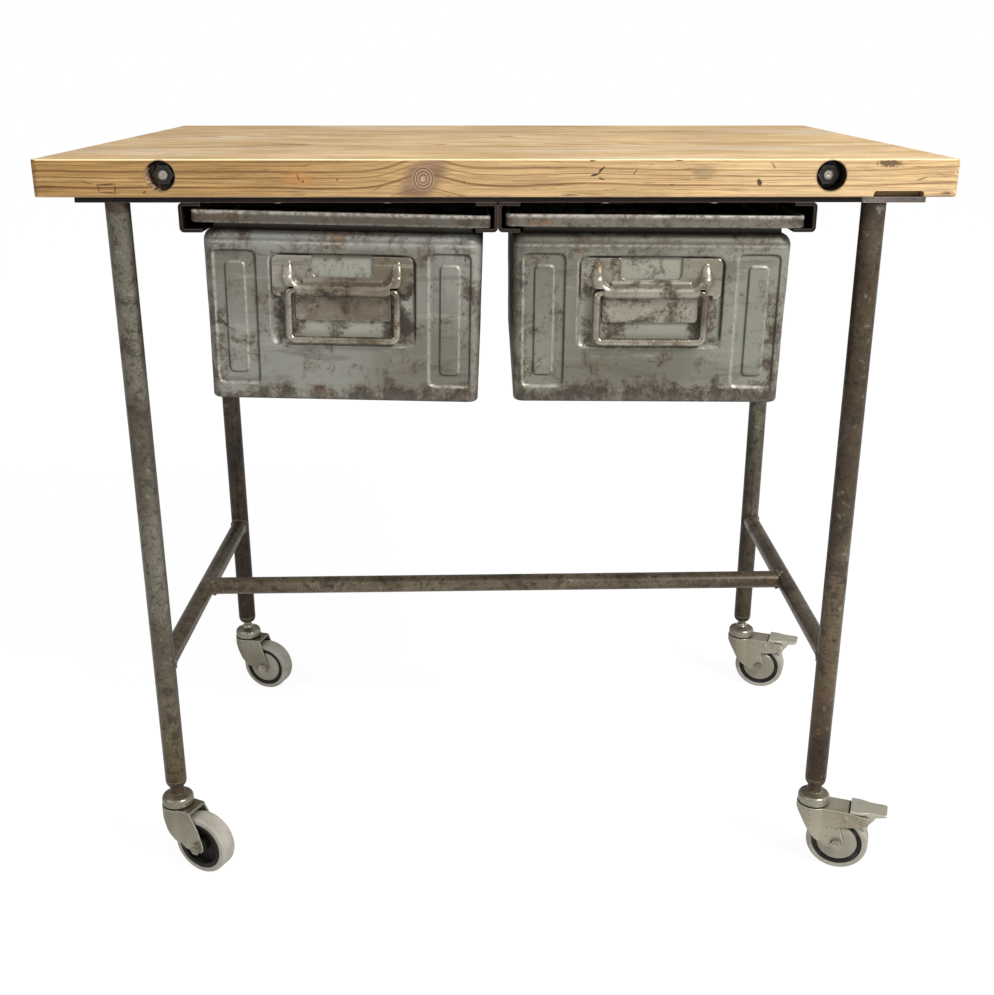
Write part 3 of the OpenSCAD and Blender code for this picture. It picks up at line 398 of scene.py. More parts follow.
# Bars and runners under the top: mill steel, blackened and greasy, a little brighter along their edges,
# screwed to the boards. All metal shares one group of masks: blotches, pits, scratches and mottling.
worn_metal, given = group("worn_metal", (("Vector", (0, 0, 0)), ("Scale", 1.0)),
                          ("Blotches", "Pits", "Scratches", "Clouds", "Speckle", "Mottle"))
at = node("VectorMath", {0: given["Vector"], "Scale": given["Scale"]}, operation="SCALE")
draw, away = node("TexVoronoi", {"Vector": at, "Scale": 210.0, "Randomness": 1.0}, ("Color", "Distance"))
chosen = spread(node("SeparateColor", {0: draw}, 1), 0.72, 0.80)
scored = []
for turn, lengthwise in ((0.35, (14.0, 14.0, 900.0)), (-0.9, (12.0, 12.0, 700.0)), (1.35, (10.0, 10.0, 800.0))):
    leaning = node("VectorRotate", {"Vector": at, "Angle": turn}, rotation_type="Y_AXIS")
    scored.append(spread(cloud(stretch(leaning, lengthwise), 1.0, 1.0, 0.4), 0.745, 0.80))
feed(bench["result"], {
    "Blotches": cloud(at, 17.0, 7.0, 0.68, 0.4), "Pits": spread(away, 0.34, 0.12) * chosen,
    "Scratches": largest(*scored), "Clouds": cloud(at, 5.5, 3.0, 0.5), "Speckle": cloud(at, 230.0, 5.0, 0.75),
    "Mottle": cloud(at, 62.0, 7.0, 0.72, 0.3)})


def steel(name, light, dark, rust, rust_from, bright, edge_radius, metal, rough, bump, scale=1.0, grime_and_nook_shade=0.0,
          level=0.5, under=None, speckled=0.5, mottled=0.0, side_shade=0.0, sides_lit=0.0, browner_under=None,
          settled=0.0):
    """Worn steel: two tones in clouds, rust where the blotches pass a level, and bare bright edges. Painted shade
    darkens the faces turned neither forward, backward nor up: under the piece and, unless they count as lit, on its
    left and right sides. Grime and painted shade lie in its nooks."""
    made = new_material(name)
    place, looks = node("TexCoord", out=("Object", "Normal"))
    masks = use(worn_metal, Vector=place, Scale=scale)
    grit = masks["Speckle"] - 0.5
    base = blend(spread(masks["Clouds"], 0.38, 0.62), dark, light)
    rusty = masks["Blotches"] + grit * 0.35
    if under:
        above_floor = node("SeparateXYZ", {0: place}, "Z")
        rusty = rusty + spread(above_floor, under - 0.05, under, 0.0, 0.3)
    rusty = spread(rusty, rust_from, rust_from + 0.14)
    base = blend(rusty, base, rust)
    base = blend(spread(masks["Speckle"], 0.46, 0.66, 0.0, speckled), base, shade(dark, 0.5))
    if mottled:
        base = blend(spread(masks["Mottle"], 0.53, 0.59, 0.0, mottled), base, shade(dark, 0.30))
        base = blend(spread(masks["Mottle"], 0.42, 0.34, 0.0, mottled * 0.5), base, bright)
    if browner_under:
        above_floor = node("SeparateXYZ", {0: place}, "Z")
        base = blend(spread(above_floor, browner_under + 0.2, browner_under - 0.15), base, (0.62, 0.46, 0.28),
                     "MULTIPLY")
    # Painted shade on the faces turned away from the front and the top: below the piece and on its sides.
    if side_shade:
        to_side, to_front, to_top = node("SeparateXYZ", {0: looks}, ("X", "Y", "Z"))
        facing_light = largest(calc("ABSOLUTE", to_front), to_top, calc("ABSOLUTE", to_side) * sides_lit)
        base = blend(spread(facing_light, 0.57, 0.04, 0.0, side_shade), base, shade(dark, 0.25))
    if settled:
        facing_up = node("SeparateXYZ", {0: node("NewGeometry", out="Normal")}, "Z")
        dirt = spread(facing_up, 0.75, 0.97, 0.0, settled) * spread(masks["Mottle"], 0.38, 0.55, 0.35, 1.0)
        base = blend(dirt, base, (0.125, 0.088, 0.055))
    base = blend(masks["Pits"] * 0.65, base, shade(rust, 0.35))
    if edge_radius:
        edge = use(edge_wear, Radius=edge_radius, Vector=place, Ragged=0.8)["Mask"]
    else:
        edge = spread(node("NewGeometry", out="Pointiness") + grit * 0.06, 0.515, 0.565)
    base = blend(edge * 0.75, base, bright)
    base = blend(masks["Scratches"] * 0.15, base, bright)
    # Grime and painted shade in the nooks, where ambient occlusion finds them closed in.
    if grime_and_nook_shade:
        nook = node("AmbientOcclusion", {"Distance": 0.02}, "AO", samples=6)
        base = blend(spread(nook, 0.75, 0.25, 0.0, grime_and_nook_shade), base, shade(dark, 0.3))
    dull = calc("SUBTRACT", rusty * 0.22 + rough, edge * 0.12, clamp=True)
    shine = (1.0 - rusty * 0.7) * metal if metal else 0.0
    height = masks["Blotches"] * 0.6 - (masks["Pits"] * 0.7 + masks["Scratches"] * 0.2)
    finish_material(base, dull, shine, height, bump, level)
    return made


wear(steel("mill_steel", (0.019, 0.010, 0.007), (0.008, 0.004, 0.003), (0.030, 0.017, 0.010), 0.58,
           (0.17, 0.135, 0.105), 0.0009, 0.0, 0.62, 0.35, level=0.22),
     "front_bar", "rear_bar", "side_bar_left", "side_bar_right", "runner_left_outer", "runner_left_inner",
     "runner_right_inner", "runner_right_outer", "drawer_stops")
wear(steel("plate_steel", (0.26, 0.23, 0.20), (0.12, 0.10, 0.085), (0.10, 0.055, 0.03), 0.56,
           (0.45, 0.42, 0.37), 0.0014, 0.5, 0.45, 0.4), "corner_plate")
rod_steel = steel("rod_steel", (0.62, 0.59, 0.53), (0.34, 0.31, 0.26), (0.16, 0.09, 0.05), 0.58,
                  (0.60, 0.57, 0.52), 0.0008, 0.7, 0.34, 0.3, 3.0)
wear(rod_steel, "tie_rods", "wood_screws")
wear(steel("nut_steel", (0.085, 0.078, 0.068), (0.035, 0.030, 0.025), (0.05, 0.028, 0.016), 0.52,
           (0.30, 0.28, 0.25), 0.0007, 0.3, 0.5, 0.35, 3.0), "tie_rod_nuts", "tie_rod_washers")


# The ends of the tie rods were turned to a low dome with a centre mark, and show bright in the holes.
# Each dome sits on the end of its rod, behind the nut's face.
ROUND = 32
ROD_END_Y = 0.3365


def mesh_object(name, verts, faces, material):
    """A mesh piece in the scene, smooth shaded."""
    mesh = bpy.data.meshes.new(name)
    mesh.from_pydata([tuple(v) for v in verts], [], faces)
    mesh.validate()
    outward(mesh)
    for face in mesh.polygons:
        face.use_smooth = True
    mesh.materials.append(material)
    made = bpy.data.objects.new(name, mesh)
    scene.collection.objects.link(made)
    return made


def outward(mesh):
    """Turns all faces of a mesh to look outwards."""
    bm = bmesh.new()
    bm.from_mesh(mesh)
    bmesh.ops.recalc_face_normals(bm, faces=bm.faces)
    bm.to_mesh(mesh)
    bm.free()


def circle(x, y, radius, count=ROUND):
    """Points round a circle, as pairs."""
    return [(x + radius * math.cos(2 * math.pi * k / count), y + radius * math.sin(2 * math.pi * k / count))
            for k in range(count)]


def bands(rows, count, closed=False):
    """Faces between neighbouring rings of points. A closed row of rings joins its last to its first."""
    return [(i * count + k, i * count + (k + 1) % count, (i + 1) % rows * count + (k + 1) % count,
             (i + 1) % rows * count + k) for i in range(rows if closed else rows - 1) for k in range(count)]


dome_steps = [(0.0060, 0.0), (0.0056, 0.0007), (0.0046, 0.0013), (0.0032, 0.0017), (0.0014, 0.0018),
              (0.0009, 0.0012)]
for tag, rod_x in (("left", -ROD_X), ("right", ROD_X)):
    for end, way in (("front", -1), ("rear", 1)):
        verts = [(x, way * (ROD_END_Y + out), z) for radius, out in dome_steps
                 for x, z in circle(rod_x, ROD_Z, radius)]
        faces = bands(len(dome_steps), ROUND)
        faces += [tuple(range(ROUND)), tuple(range(len(verts) - ROUND, len(verts)))]
        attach(mesh_object("rod_dome_%s_%s" % (tag, end), verts, faces, rod_steel), "table")


# Legs and stretchers: water pipe with a brown patina, worn grey where feet rub it, and welded together.
# The turned plugs in the feet are darker, and the front two show a collar above the caster.
LEG_X, LEG_FRONT_Y, LEG_REAR_Y, LEG_R, PIPE_R = 0.415, -0.33095, 0.16205, 0.01345, 0.012
MIDDLE_Y = (LEG_FRONT_Y + LEG_REAR_Y) / 2
SIDES = (("left", -1, 0.286), ("right", 1, 0.295))

# Each pipe: name, light and dark tones, share of painted side shade, how far its sides count as lit, and nodes.
for name, light, dark, side_shade, sides_lit, names in (
        ("grey_pipe", (0.168, 0.152, 0.116), (0.098, 0.082, 0.056), 0.62, 0.0, ("leg_front_left",)),
        ("brown_pipe", (0.128, 0.095, 0.058), (0.064, 0.043, 0.024), 0.65, 0.0, ("leg_front_right",)),
        ("stretcher_pipe", (0.205, 0.175, 0.126), (0.112, 0.086, 0.056), 0.5, 1.0,
         ("side_stretcher_left", "side_stretcher_right", "cross_stretcher")),
        ("dark_pipe", (0.060, 0.039, 0.022), (0.026, 0.016, 0.008), 0.6, 0.0, ("leg_rear_left",)),
        ("olive_pipe", (0.135, 0.124, 0.086), (0.062, 0.052, 0.034), 0.7, 0.0, ("leg_rear_right",))):
    wear(steel(name, light, dark, (0.045, 0.026, 0.014), 0.52, (0.36, 0.33, 0.27), 0.001, 0.5, 0.27, 0.28, 1.3,
               under=0.868, speckled=0.55, mottled=0.65, side_shade=side_shade, sides_lit=sides_lit, browner_under=0.22), *names)
plug_steel = steel("plug_steel", (0.085, 0.058, 0.034), (0.036, 0.022, 0.012), (0.065, 0.032, 0.014), 0.52,
                   (0.30, 0.26, 0.21), 0.001, 0.4, 0.40, 0.45, 2.0, mottled=0.6, side_shade=0.5)
wear(plug_steel, "leg_plugs")
weld_steel = steel("weld_steel", (0.15, 0.125, 0.095), (0.07, 0.052, 0.036), (0.07, 0.04, 0.022), 0.55,
                   (0.36, 0.33, 0.28), 0.0008, 0.45, 0.42, 0.5, side_shade=0.4)
draws = np.random.default_rng(11)


def tube_round(points, radii, sides=8):
    """Vertices and faces of a closed tube along a ring of points. The radius may change at each of them."""
    verts = []
    for i, point in enumerate(points):
        run = (points[(i + 1) % len(points)] - points[i - 1]).normalized()
        side = run.cross(Vector((0.31, 0.17, 0.93))).normalized()
        up = side.cross(run)
        verts += [point + side * x + up * y for x, y in circle(0, 0, radii[i], sides)]
    return verts, bands(len(points), sides, closed=True)


def weld_ring(name, centre, run, radius, seat):
    """A bead of weld round the end of a stretcher. seat gives how far along its run the bead lies."""
    run = Vector(run)
    side = run.cross(Vector((0, 0, 1))).normalized()
    up = side.cross(run)
    points, radii = [], []
    for k, (flat, tall) in enumerate(circle(0, 0, radius, 64)):
        points.append(Vector(centre) + side * flat + up * tall + run * seat(flat))
        radii.append(0.0021 + 0.00035 * math.sin(9 * 2 * math.pi * k / 64) + 0.00025 * draws.standard_normal())
    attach(mesh_object(name, *tube_round(points, radii), weld_steel), "table")


for tag, way, z in SIDES:
    for end, y, inward in (("front", LEG_FRONT_Y, 1), ("rear", LEG_REAR_Y, -1)):
        weld_ring("weld_%s_%s" % (tag, end), (way * LEG_X, y, z), (0, inward, 0), PIPE_R + 0.0006,
                  lambda flat: math.sqrt(max(LEG_R ** 2 - flat ** 2, 0)))
    weld_ring("weld_cross_%s" % tag, (way * LEG_X, MIDDLE_Y, z), (-way, 0, 0), PIPE_R * 0.98,
              lambda flat: math.sqrt(max(PIPE_R ** 2 - flat ** 2, 0)) * 0.9 + 0.0006)

plug = nodes["leg_plugs"]
foot_z = min((plug.matrix_world @ vertex.co).z for vertex in plug.data.vertices)
collar_steps = [(0.0086, 0.0012), (0.0092, -0.0004), (0.0089, -0.0020), (0.0084, -0.0042), (0.0083, -0.0066),
                (0.0088, -0.0080), (0.0088, -0.0092), (0.0060, -0.0096), (0.0060, 0.0012)]
for tag, way, z in SIDES:
    verts = [(x, y, foot_z + rise) for radius, rise in collar_steps
             for x, y in circle(way * LEG_X, LEG_FRONT_Y, radius)]
    collar = mesh_object("plug_collar_" + tag, verts, bands(len(collar_steps), ROUND, closed=True), plug_steel)
    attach(collar, "table")


# Casters: pressed and zinc plated forks under a swivel head, a rubber tread on a black plastic hub, disc
# guards at the hub's sides and a brake pedal on the right hand ones. The plating has gone dull and grey.
def applied(piece):
    """Turns a piece's modifiers into its mesh."""
    piece.data = bpy.data.meshes.new_from_object(piece.evaluated_get(bpy.context.evaluated_depsgraph_get()))
    piece.modifiers.clear()
    return piece.data


def dress(piece, material, body, node_name):
    """Gives a finished piece its material and its body, and hides the CAD node it stands for."""
    for face in piece.data.polygons:
        face.use_smooth = True
    piece.data.materials.clear()
    piece.data.materials.append(material)
    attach(piece, body)
    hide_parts(node_name)


def softened(name, node_name, rounds, keep, shape=None, voxel=0.0006):
    """A copy of a CAD node whose edges are pressed round: remeshed, smoothed and thinned out again."""
    made = bpy.data.objects.new(name, nodes[node_name].data.copy())
    scene.collection.objects.link(made)
    made.data.materials.clear()
    step = made.modifiers.new("remesh", "REMESH")
    step.mode = "VOXEL"
    step.voxel_size = voxel
    step = made.modifiers.new("smooth", "SMOOTH")
    step.factor = 0.5
    step.iterations = rounds
    fine = applied(made)
    if shape:
        co = np.zeros(len(fine.vertices) * 3)
        fine.vertices.foreach_get("co", co)
        fine.vertices.foreach_set("co", shape(co.reshape(-1, 3)).reshape(-1))
        fine.update()
    made.modifiers.new("thin", "DECIMATE").ratio = keep
    applied(made)
    return made


# In the zinc, the number after the scale is its share of grime and painted shade in the nooks.
axle_zinc = steel("dull_zinc", (0.40, 0.365, 0.29), (0.23, 0.20, 0.145), (0.17, 0.115, 0.07), 0.60,
                  (0.78, 0.75, 0.68), 0.0010, 0.6, 0.30, 0.2, 1.6, 0.85, speckled=0.12)
pressed_zinc = steel("pressed_zinc", (0.345, 0.325, 0.255), (0.235, 0.215, 0.160), (0.17, 0.105, 0.040), 0.60,
                     (0.86, 0.84, 0.76), 0.0, 0.65, 0.25, 0.15, 1.2, 0.9, speckled=0.10, settled=0.75)
bright_zinc = steel("bright_zinc", (0.375, 0.345, 0.265), (0.25, 0.222, 0.155), (0.20, 0.135, 0.050), 0.55,
                    (0.90, 0.88, 0.81), 0.0, 0.5, 0.30, 0.15, 1.2, 0.9, speckled=0.15)
pad_zinc = steel("pad_zinc", (0.49, 0.465, 0.385), (0.41, 0.385, 0.31), (0.20, 0.135, 0.06), 0.66,
                 (0.86, 0.84, 0.76), 0.0, 0.5, 0.34, 0.15, 1.2, 0.7, speckled=0.10)
guard_zinc = steel("guard_zinc", (0.37, 0.34, 0.275), (0.28, 0.255, 0.20), (0.17, 0.115, 0.07), 0.64,
                   (0.60, 0.58, 0.52), 0.0008, 0.35, 0.42, 0.2, 1.6, 0.6, speckled=0.12)

hub_plastic = new_material("hub_plastic")
dust = cloud(node("TexCoord", out="Object"), 45.0, 5.0, 0.65)
finish_material(blend(spread(dust, 0.45, 0.75, 0.0, 0.5), (0.010, 0.009, 0.008), (0.085, 0.072, 0.058)),
                spread(dust, 0.3, 0.7, 0.45, 0.7), 0.0, dust, 0.2, 0.2)

tread_rubber = new_material("tread_rubber")
place = node("TexCoord", out="Object")
soil = cloud(place, 38.0, 6.0, 0.65)
pits = use(worn_metal, Vector=place, Scale=1.4)["Pits"]
colour = blend(spread(soil, 0.35, 0.7), (0.385, 0.358, 0.310), (0.280, 0.255, 0.208))
finish_material(blend(pits * 0.35, colour, (0.16, 0.13, 0.10)), spread(soil, 0.3, 0.7, 0.55, 0.75), 0.0,
                soil - pits, 0.3)

corners = ("front_left", "front_right", "rear_left", "rear_right")
for name, body, finish, rounds, keep in [("caster_heads", "table", pressed_zinc, 3, 0.35)] + [
        ("fork_" + tag, tag + "_swivel", pressed_zinc if "left" in tag else bright_zinc, 4, 0.35)
        for tag in corners] + [
        ("pedal_" + tag, tag + "_pedal", pad_zinc, 7, 0.6) for tag in corners if "right" in tag]:
    dress(softened(name + "_pressed", name, rounds, keep), finish, body, name)
for tag in corners:
    wear(axle_zinc, "axle_" + tag)
    wear(hub_plastic, "hub_" + tag)
    wear(tread_rubber, "tread_" + tag)
    if tag != "front_left":
        wear(guard_zinc, "guards_" + tag)


# Steel boxes: each is deep drawn from 2 mm sheet, with a rolled rim, a neck, a shoulder and a wall that
# leans in a little. The ends carry two ribbed side panels and a recess for the handle.
BOX_W, BOX_D, BOX_H, SHEET = 0.328, 0.500, 0.214, 0.002
RIM_R, RIM_H, BODY_R, NECK_IN, NECK_H = 0.008, 0.014, 0.024, 0.020, 0.008
SHOULDER_IN, SHOULDER_DROP, FOOT_IN, FOOT_R = 0.009, 0.014, 0.011, 0.004
BOX_Y, BOX_Z, BOX_X, BAY_SHIFT = -0.096, 0.6258, 0.172, 0.002
LEANS = {-1: math.radians(1.3), 1: math.radians(0.4)}
LEDGE, SHOULDER = BOX_H - RIM_H, BOX_H - RIM_H - NECK_H - SHOULDER_DROP
# Each pressing: the half width, half height and corner radius of a rounded rectangle. All heights are
# above the box's bottom.
PANEL_X, PANEL_Z, RECESS_Z = 0.1198, 0.09425, 0.116
PANEL, RIB, RECESS = (0.024, 0.07625, 0.007), (0.0105, 0.06225, 0.005), (0.082, 0.052, 0.011)
PANEL_DEEP, RECESS_DEEP, RIB_LOW, WAVER = 0.0025, 0.004, 0.0006, 0.00035


def box_place(side):
    """Where a box's own coordinates go. Each box leans over its right rim."""
    pivot = Vector((BAY_SHIFT + side * BOX_X + BOX_W / 2, 0, BOX_Z + LEDGE))
    return (Matrix.Translation(pivot) @ Matrix.Rotation(LEANS[side], 4, "Y")
            @ Matrix.Translation(Vector((-BOX_W / 2, BOX_Y, RIM_H - BOX_H))))


def ease(value, low, high):
    """Smooth step from 0 at low to 1 at high."""
    t = np.clip((value - low) / (high - low), 0.0, 1.0)
    return t * t * (3 - 2 * t)


def peak(value, centre, width):
    """A bell curve that is 1 at its centre."""
    return np.exp(-((value - centre) / width) ** 2)


def inside_depth(x, z, half_w, half_h, corner):
    """How far a point lies inside a rounded rectangle, in metres. It is negative outside."""
    dx = np.abs(x) - (half_w - corner)
    dz = np.abs(z) - (half_h - corner)
    outside = np.hypot(np.maximum(dx, 0), np.maximum(dz, 0))
    return corner - outside - np.minimum(np.maximum(dx, dz), 0)


def wall_side(x, z, half_w, half_h, corner):
    """From -1 at the lower left walls of a rounded rectangle to 1 at the upper right ones."""
    out_x = np.maximum(np.abs(x) - (half_w - corner), 0)
    out_z = np.maximum(np.abs(z) - (half_h - corner), 0)
    reach = np.maximum(np.hypot(out_x, out_z), 1e-9)
    return np.clip(0.9 * (np.sign(x) * out_x + np.sign(z) * out_z) / reach, -1, 1)


def press(x, z):
    """Depth of the pressings at a point of a box's end, and how much wear and painted highlight and how much grease
    and painted shade the sheet has there. The lower left walls get a painted highlight and the upper right ones
    painted shade, as a lamp above and to the right would give them, and the other way round on the ribs."""
    depth, worn, grimy_and_shaded = np.zeros_like(x), np.zeros_like(x), np.zeros_like(x)
    for mid_x, mid_z, form, deep in ((-PANEL_X, PANEL_Z, PANEL, PANEL_DEEP), (PANEL_X, PANEL_Z, PANEL, PANEL_DEEP),
                                     (0.0, RECESS_Z, RECESS, RECESS_DEEP)):
        d, turn = inside_depth(x - mid_x, z - mid_z, *form), wall_side(x - mid_x, z - mid_z, *form)
        depth = np.maximum(depth, deep * ease(d, -0.0004, 0.45 * deep + 0.0006))
        # Painted highlight on the lower left walls and painted shade on the upper right ones.
        worn = np.maximum(worn, peak(d, 0.0004, 0.0014) * ease(-turn, -0.2, 0.7))
        grimy_and_shaded = np.maximum(grimy_and_shaded, peak(d, 0.0010, 0.0012) * ease(turn, -1.0, 0.7))
        if form is PANEL:
            d, turn = inside_depth(x - mid_x, z - mid_z, *RIB), wall_side(x - mid_x, z - mid_z, *RIB)
            depth = depth - (deep - RIB_LOW) * ease(d, -0.0012, 0.0004)
            worn = np.maximum(worn, 0.9 * peak(d, -0.0002, 0.0009) * ease(turn, 0.0, 0.8))
            grimy_and_shaded = np.maximum(grimy_and_shaded, peak(d, -0.0004, 0.0010) * ease(-turn, -0.8, 0.6))
    return depth, worn, grimy_and_shaded


def grid_lines(edges, low, high, gap=0.012):
    """Places for mesh lines: close together across each pressed edge and wider between."""
    picked = {low, high}
    for edge in edges:
        picked |= {round(edge + v, 5) for v in (-0.004, -0.0022, -0.0014, -0.0007, 0, 0.0007, 0.0014, 0.0022, 0.004)}
    kept = [low]
    for value in sorted(v for v in picked if low < v < high) + [high]:
        if value - kept[-1] < 0.0006:
            continue
        steps = max(1, math.ceil((value - kept[-1]) / gap))
        start = kept[-1]
        kept += [start + (value - start) * k / steps for k in range(1, steps + 1)]
    return kept


def bend(inset, height, wide, tall, angles, corner):
    """Points of a rounded stretch of the profile: how far in, how high and the radius of its corners."""
    return [(inset - wide * math.cos(math.radians(a)), height + tall * math.sin(math.radians(a)), corner)
            for a in angles]


def box_profile():
    """The wall of a box from the rolled rim down to its bottom."""
    edges = [mid_z + way * form[1] for way in (-1, 1)
             for mid_z, form in ((PANEL_Z, PANEL), (PANEL_Z, RIB), (RECESS_Z, RECESS))]
    levels = grid_lines(edges, FOOT_R, SHOULDER - 0.0009)
    profile = bend(0.0024, BOX_H - 0.0024, 0.0024, 0.0024, (150, 115, 80, 50, 25, 0), RIM_R)
    profile += [(0.0004, BOX_H - 0.0050, RIM_R), (0.0005, BOX_H - 0.0085, RIM_R), (0.0001, LEDGE + 0.0034, RIM_R)]
    profile += bend(0.0030, LEDGE + 0.0030, 0.0030, -0.0030, (20, 45, 70, 90), RIM_R)
    profile += [(0.010, LEDGE, 0.012), (0.015, LEDGE, 0.018), (NECK_IN - 0.002, LEDGE, BODY_R),
                (NECK_IN - 0.0006, LEDGE - 0.0006, BODY_R), (NECK_IN, LEDGE - 0.002, BODY_R),
                (NECK_IN, LEDGE - NECK_H, BODY_R)]
    profile += bend(NECK_IN, SHOULDER, NECK_IN - SHOULDER_IN, SHOULDER_DROP, range(85, -1, -5), BODY_R)
    profile += [(SHOULDER_IN + (FOOT_IN - SHOULDER_IN) * (SHOULDER - z) / (SHOULDER - FOOT_R), z, BODY_R)
                for z in reversed(levels)]
    profile += bend(FOOT_IN + FOOT_R, FOOT_R, FOOT_R, -FOOT_R, (15, 30, 50, 70, 90), BODY_R)
    return profile + [(FOOT_IN + FOOT_R + 0.006, 0.0, BODY_R)]


def box_ring():
    """Where the lines of the mesh run round a box: place along the straights, and way out."""
    straight = BOX_W / 2 - BODY_R
    edges = [s * v for s in (-1, 1) for v in (RECESS[0], PANEL_X - PANEL[0], PANEL_X + PANEL[0], PANEL_X - RIB[0],
                                              PANEL_X + RIB[0])]
    end_x = [v / straight for v in grid_lines([v for v in edges if abs(v) < straight - 0.001], -straight, straight)]
    side_y = [-1 + k / 12 for k in range(25)]
    turns = [(math.sin(math.radians(v)), math.cos(math.radians(v))) for v in (
        3, 6, 9, 12, 14, 16, 19, 24, 31, 38, 45, 52, 59, 66, 71, 74, 76, 78, 81, 84, 87)]
    ring = [(x, -1, 0.0, -1.0) for x in end_x] + [(1, -1, s, -c) for s, c in turns]
    ring += [(1, y, 1.0, 0.0) for y in side_y] + [(1, 1, c, s) for s, c in turns]
    ring += [(x, 1, 0.0, 1.0) for x in reversed(end_x)] + [(-1, 1, -s, c) for s, c in turns]
    ring += [(-1, y, -1.0, 0.0) for y in reversed(side_y)] + [(-1, -1, -c, -s) for s, c in turns]
    return np.array(ring).T[:, None, :]


def box_shell(name, side):
    """The drawn sheet of a box: its profile swept round the rim, with the pressings in both ends."""
    along_x, along_y, out_x, out_y = box_ring()
    inset, height, corner = np.array(box_profile()).T[:, :, None]
    reach = np.maximum(corner - inset, 0.0002)
    x = along_x * (BOX_W / 2 - corner) + reach * out_x
    y = along_y * (BOX_D / 2 - corner) + reach * out_y
    z = height + np.zeros_like(x)
    depth, worn, grimy_and_shaded = press(x, z)
    on_wall = ((z > 0.001) & (z < SHOULDER)) * np.abs(out_y) ** 2
    y = y - np.sign(out_y) * depth * on_wall
    waver = np.sin(x * 31 + z * 17 + side) * np.cos(y * 9 + z * 23) + 0.5 * np.sin(x * 67 - z * 51 + 2 * side)
    waver = WAVER * np.abs(waver) * ease(z, 0.004, 0.03) * ease(SHOULDER - z, 0.0, 0.02)
    x, y = x - out_x * waver, y - out_y * waver
    # Painted highlights along the shoulder's crease, the rim's top and the ledge, and a faint light line at the
    # foot.
    lit_lines = np.maximum(peak(height, SHOULDER + 0.0008, 0.0013) * 0.6, peak(height, 0.0025, 0.003) * 0.15)
    lit_lines = np.maximum(lit_lines, peak(height, BOX_H - 0.0018, 0.0018) * 0.9 * (inset < 0.004))
    lit_lines = np.maximum(lit_lines, peak(height, LEDGE + 0.0006, 0.0012) * 0.6 * (inset < 0.004))
    worn = np.maximum(worn * on_wall * 0.8, lit_lines + np.zeros_like(x))
    worn = np.maximum(worn, 0.25 * peak(np.abs(out_x), 0.7, 0.25) * (z < LEDGE))
    # Painted shade: a dark line just above the shoulder's crease, and the neck under the rim made dark.
    crease_shade = peak(height, SHOULDER + 0.0042, 0.0016) * 0.55
    grimy_and_shaded = np.maximum(np.maximum(grimy_and_shaded * on_wall, crease_shade), (inset > NECK_IN - 0.003) * 1.6 * (z > SHOULDER))
    rows, count = x.shape
    to_world = np.array(box_place(side))
    verts = np.stack([x, y, z], -1).reshape(-1, 3) @ to_world[:3, :3].T + to_world[:3, 3]
    mesh = bpy.data.meshes.new(name)
    mesh.from_pydata(verts.tolist(), [], bands(rows, count) + [tuple(range((rows - 1) * count, rows * count))])
    for label, values in (("worn", worn), ("grimy_and_shaded", grimy_and_shaded)):
        held = mesh.attributes.new(label, "FLOAT", "POINT")
        held.data.foreach_set("value", values.reshape(-1).astype(np.float32))
    made = bpy.data.objects.new(name, mesh)
    scene.collection.objects.link(made)
    outward(mesh)
    solid = made.modifiers.new("sheet", "SOLIDIFY")
    solid.thickness = SHEET
    solid.offset = -1.0
    applied(made)
    return made


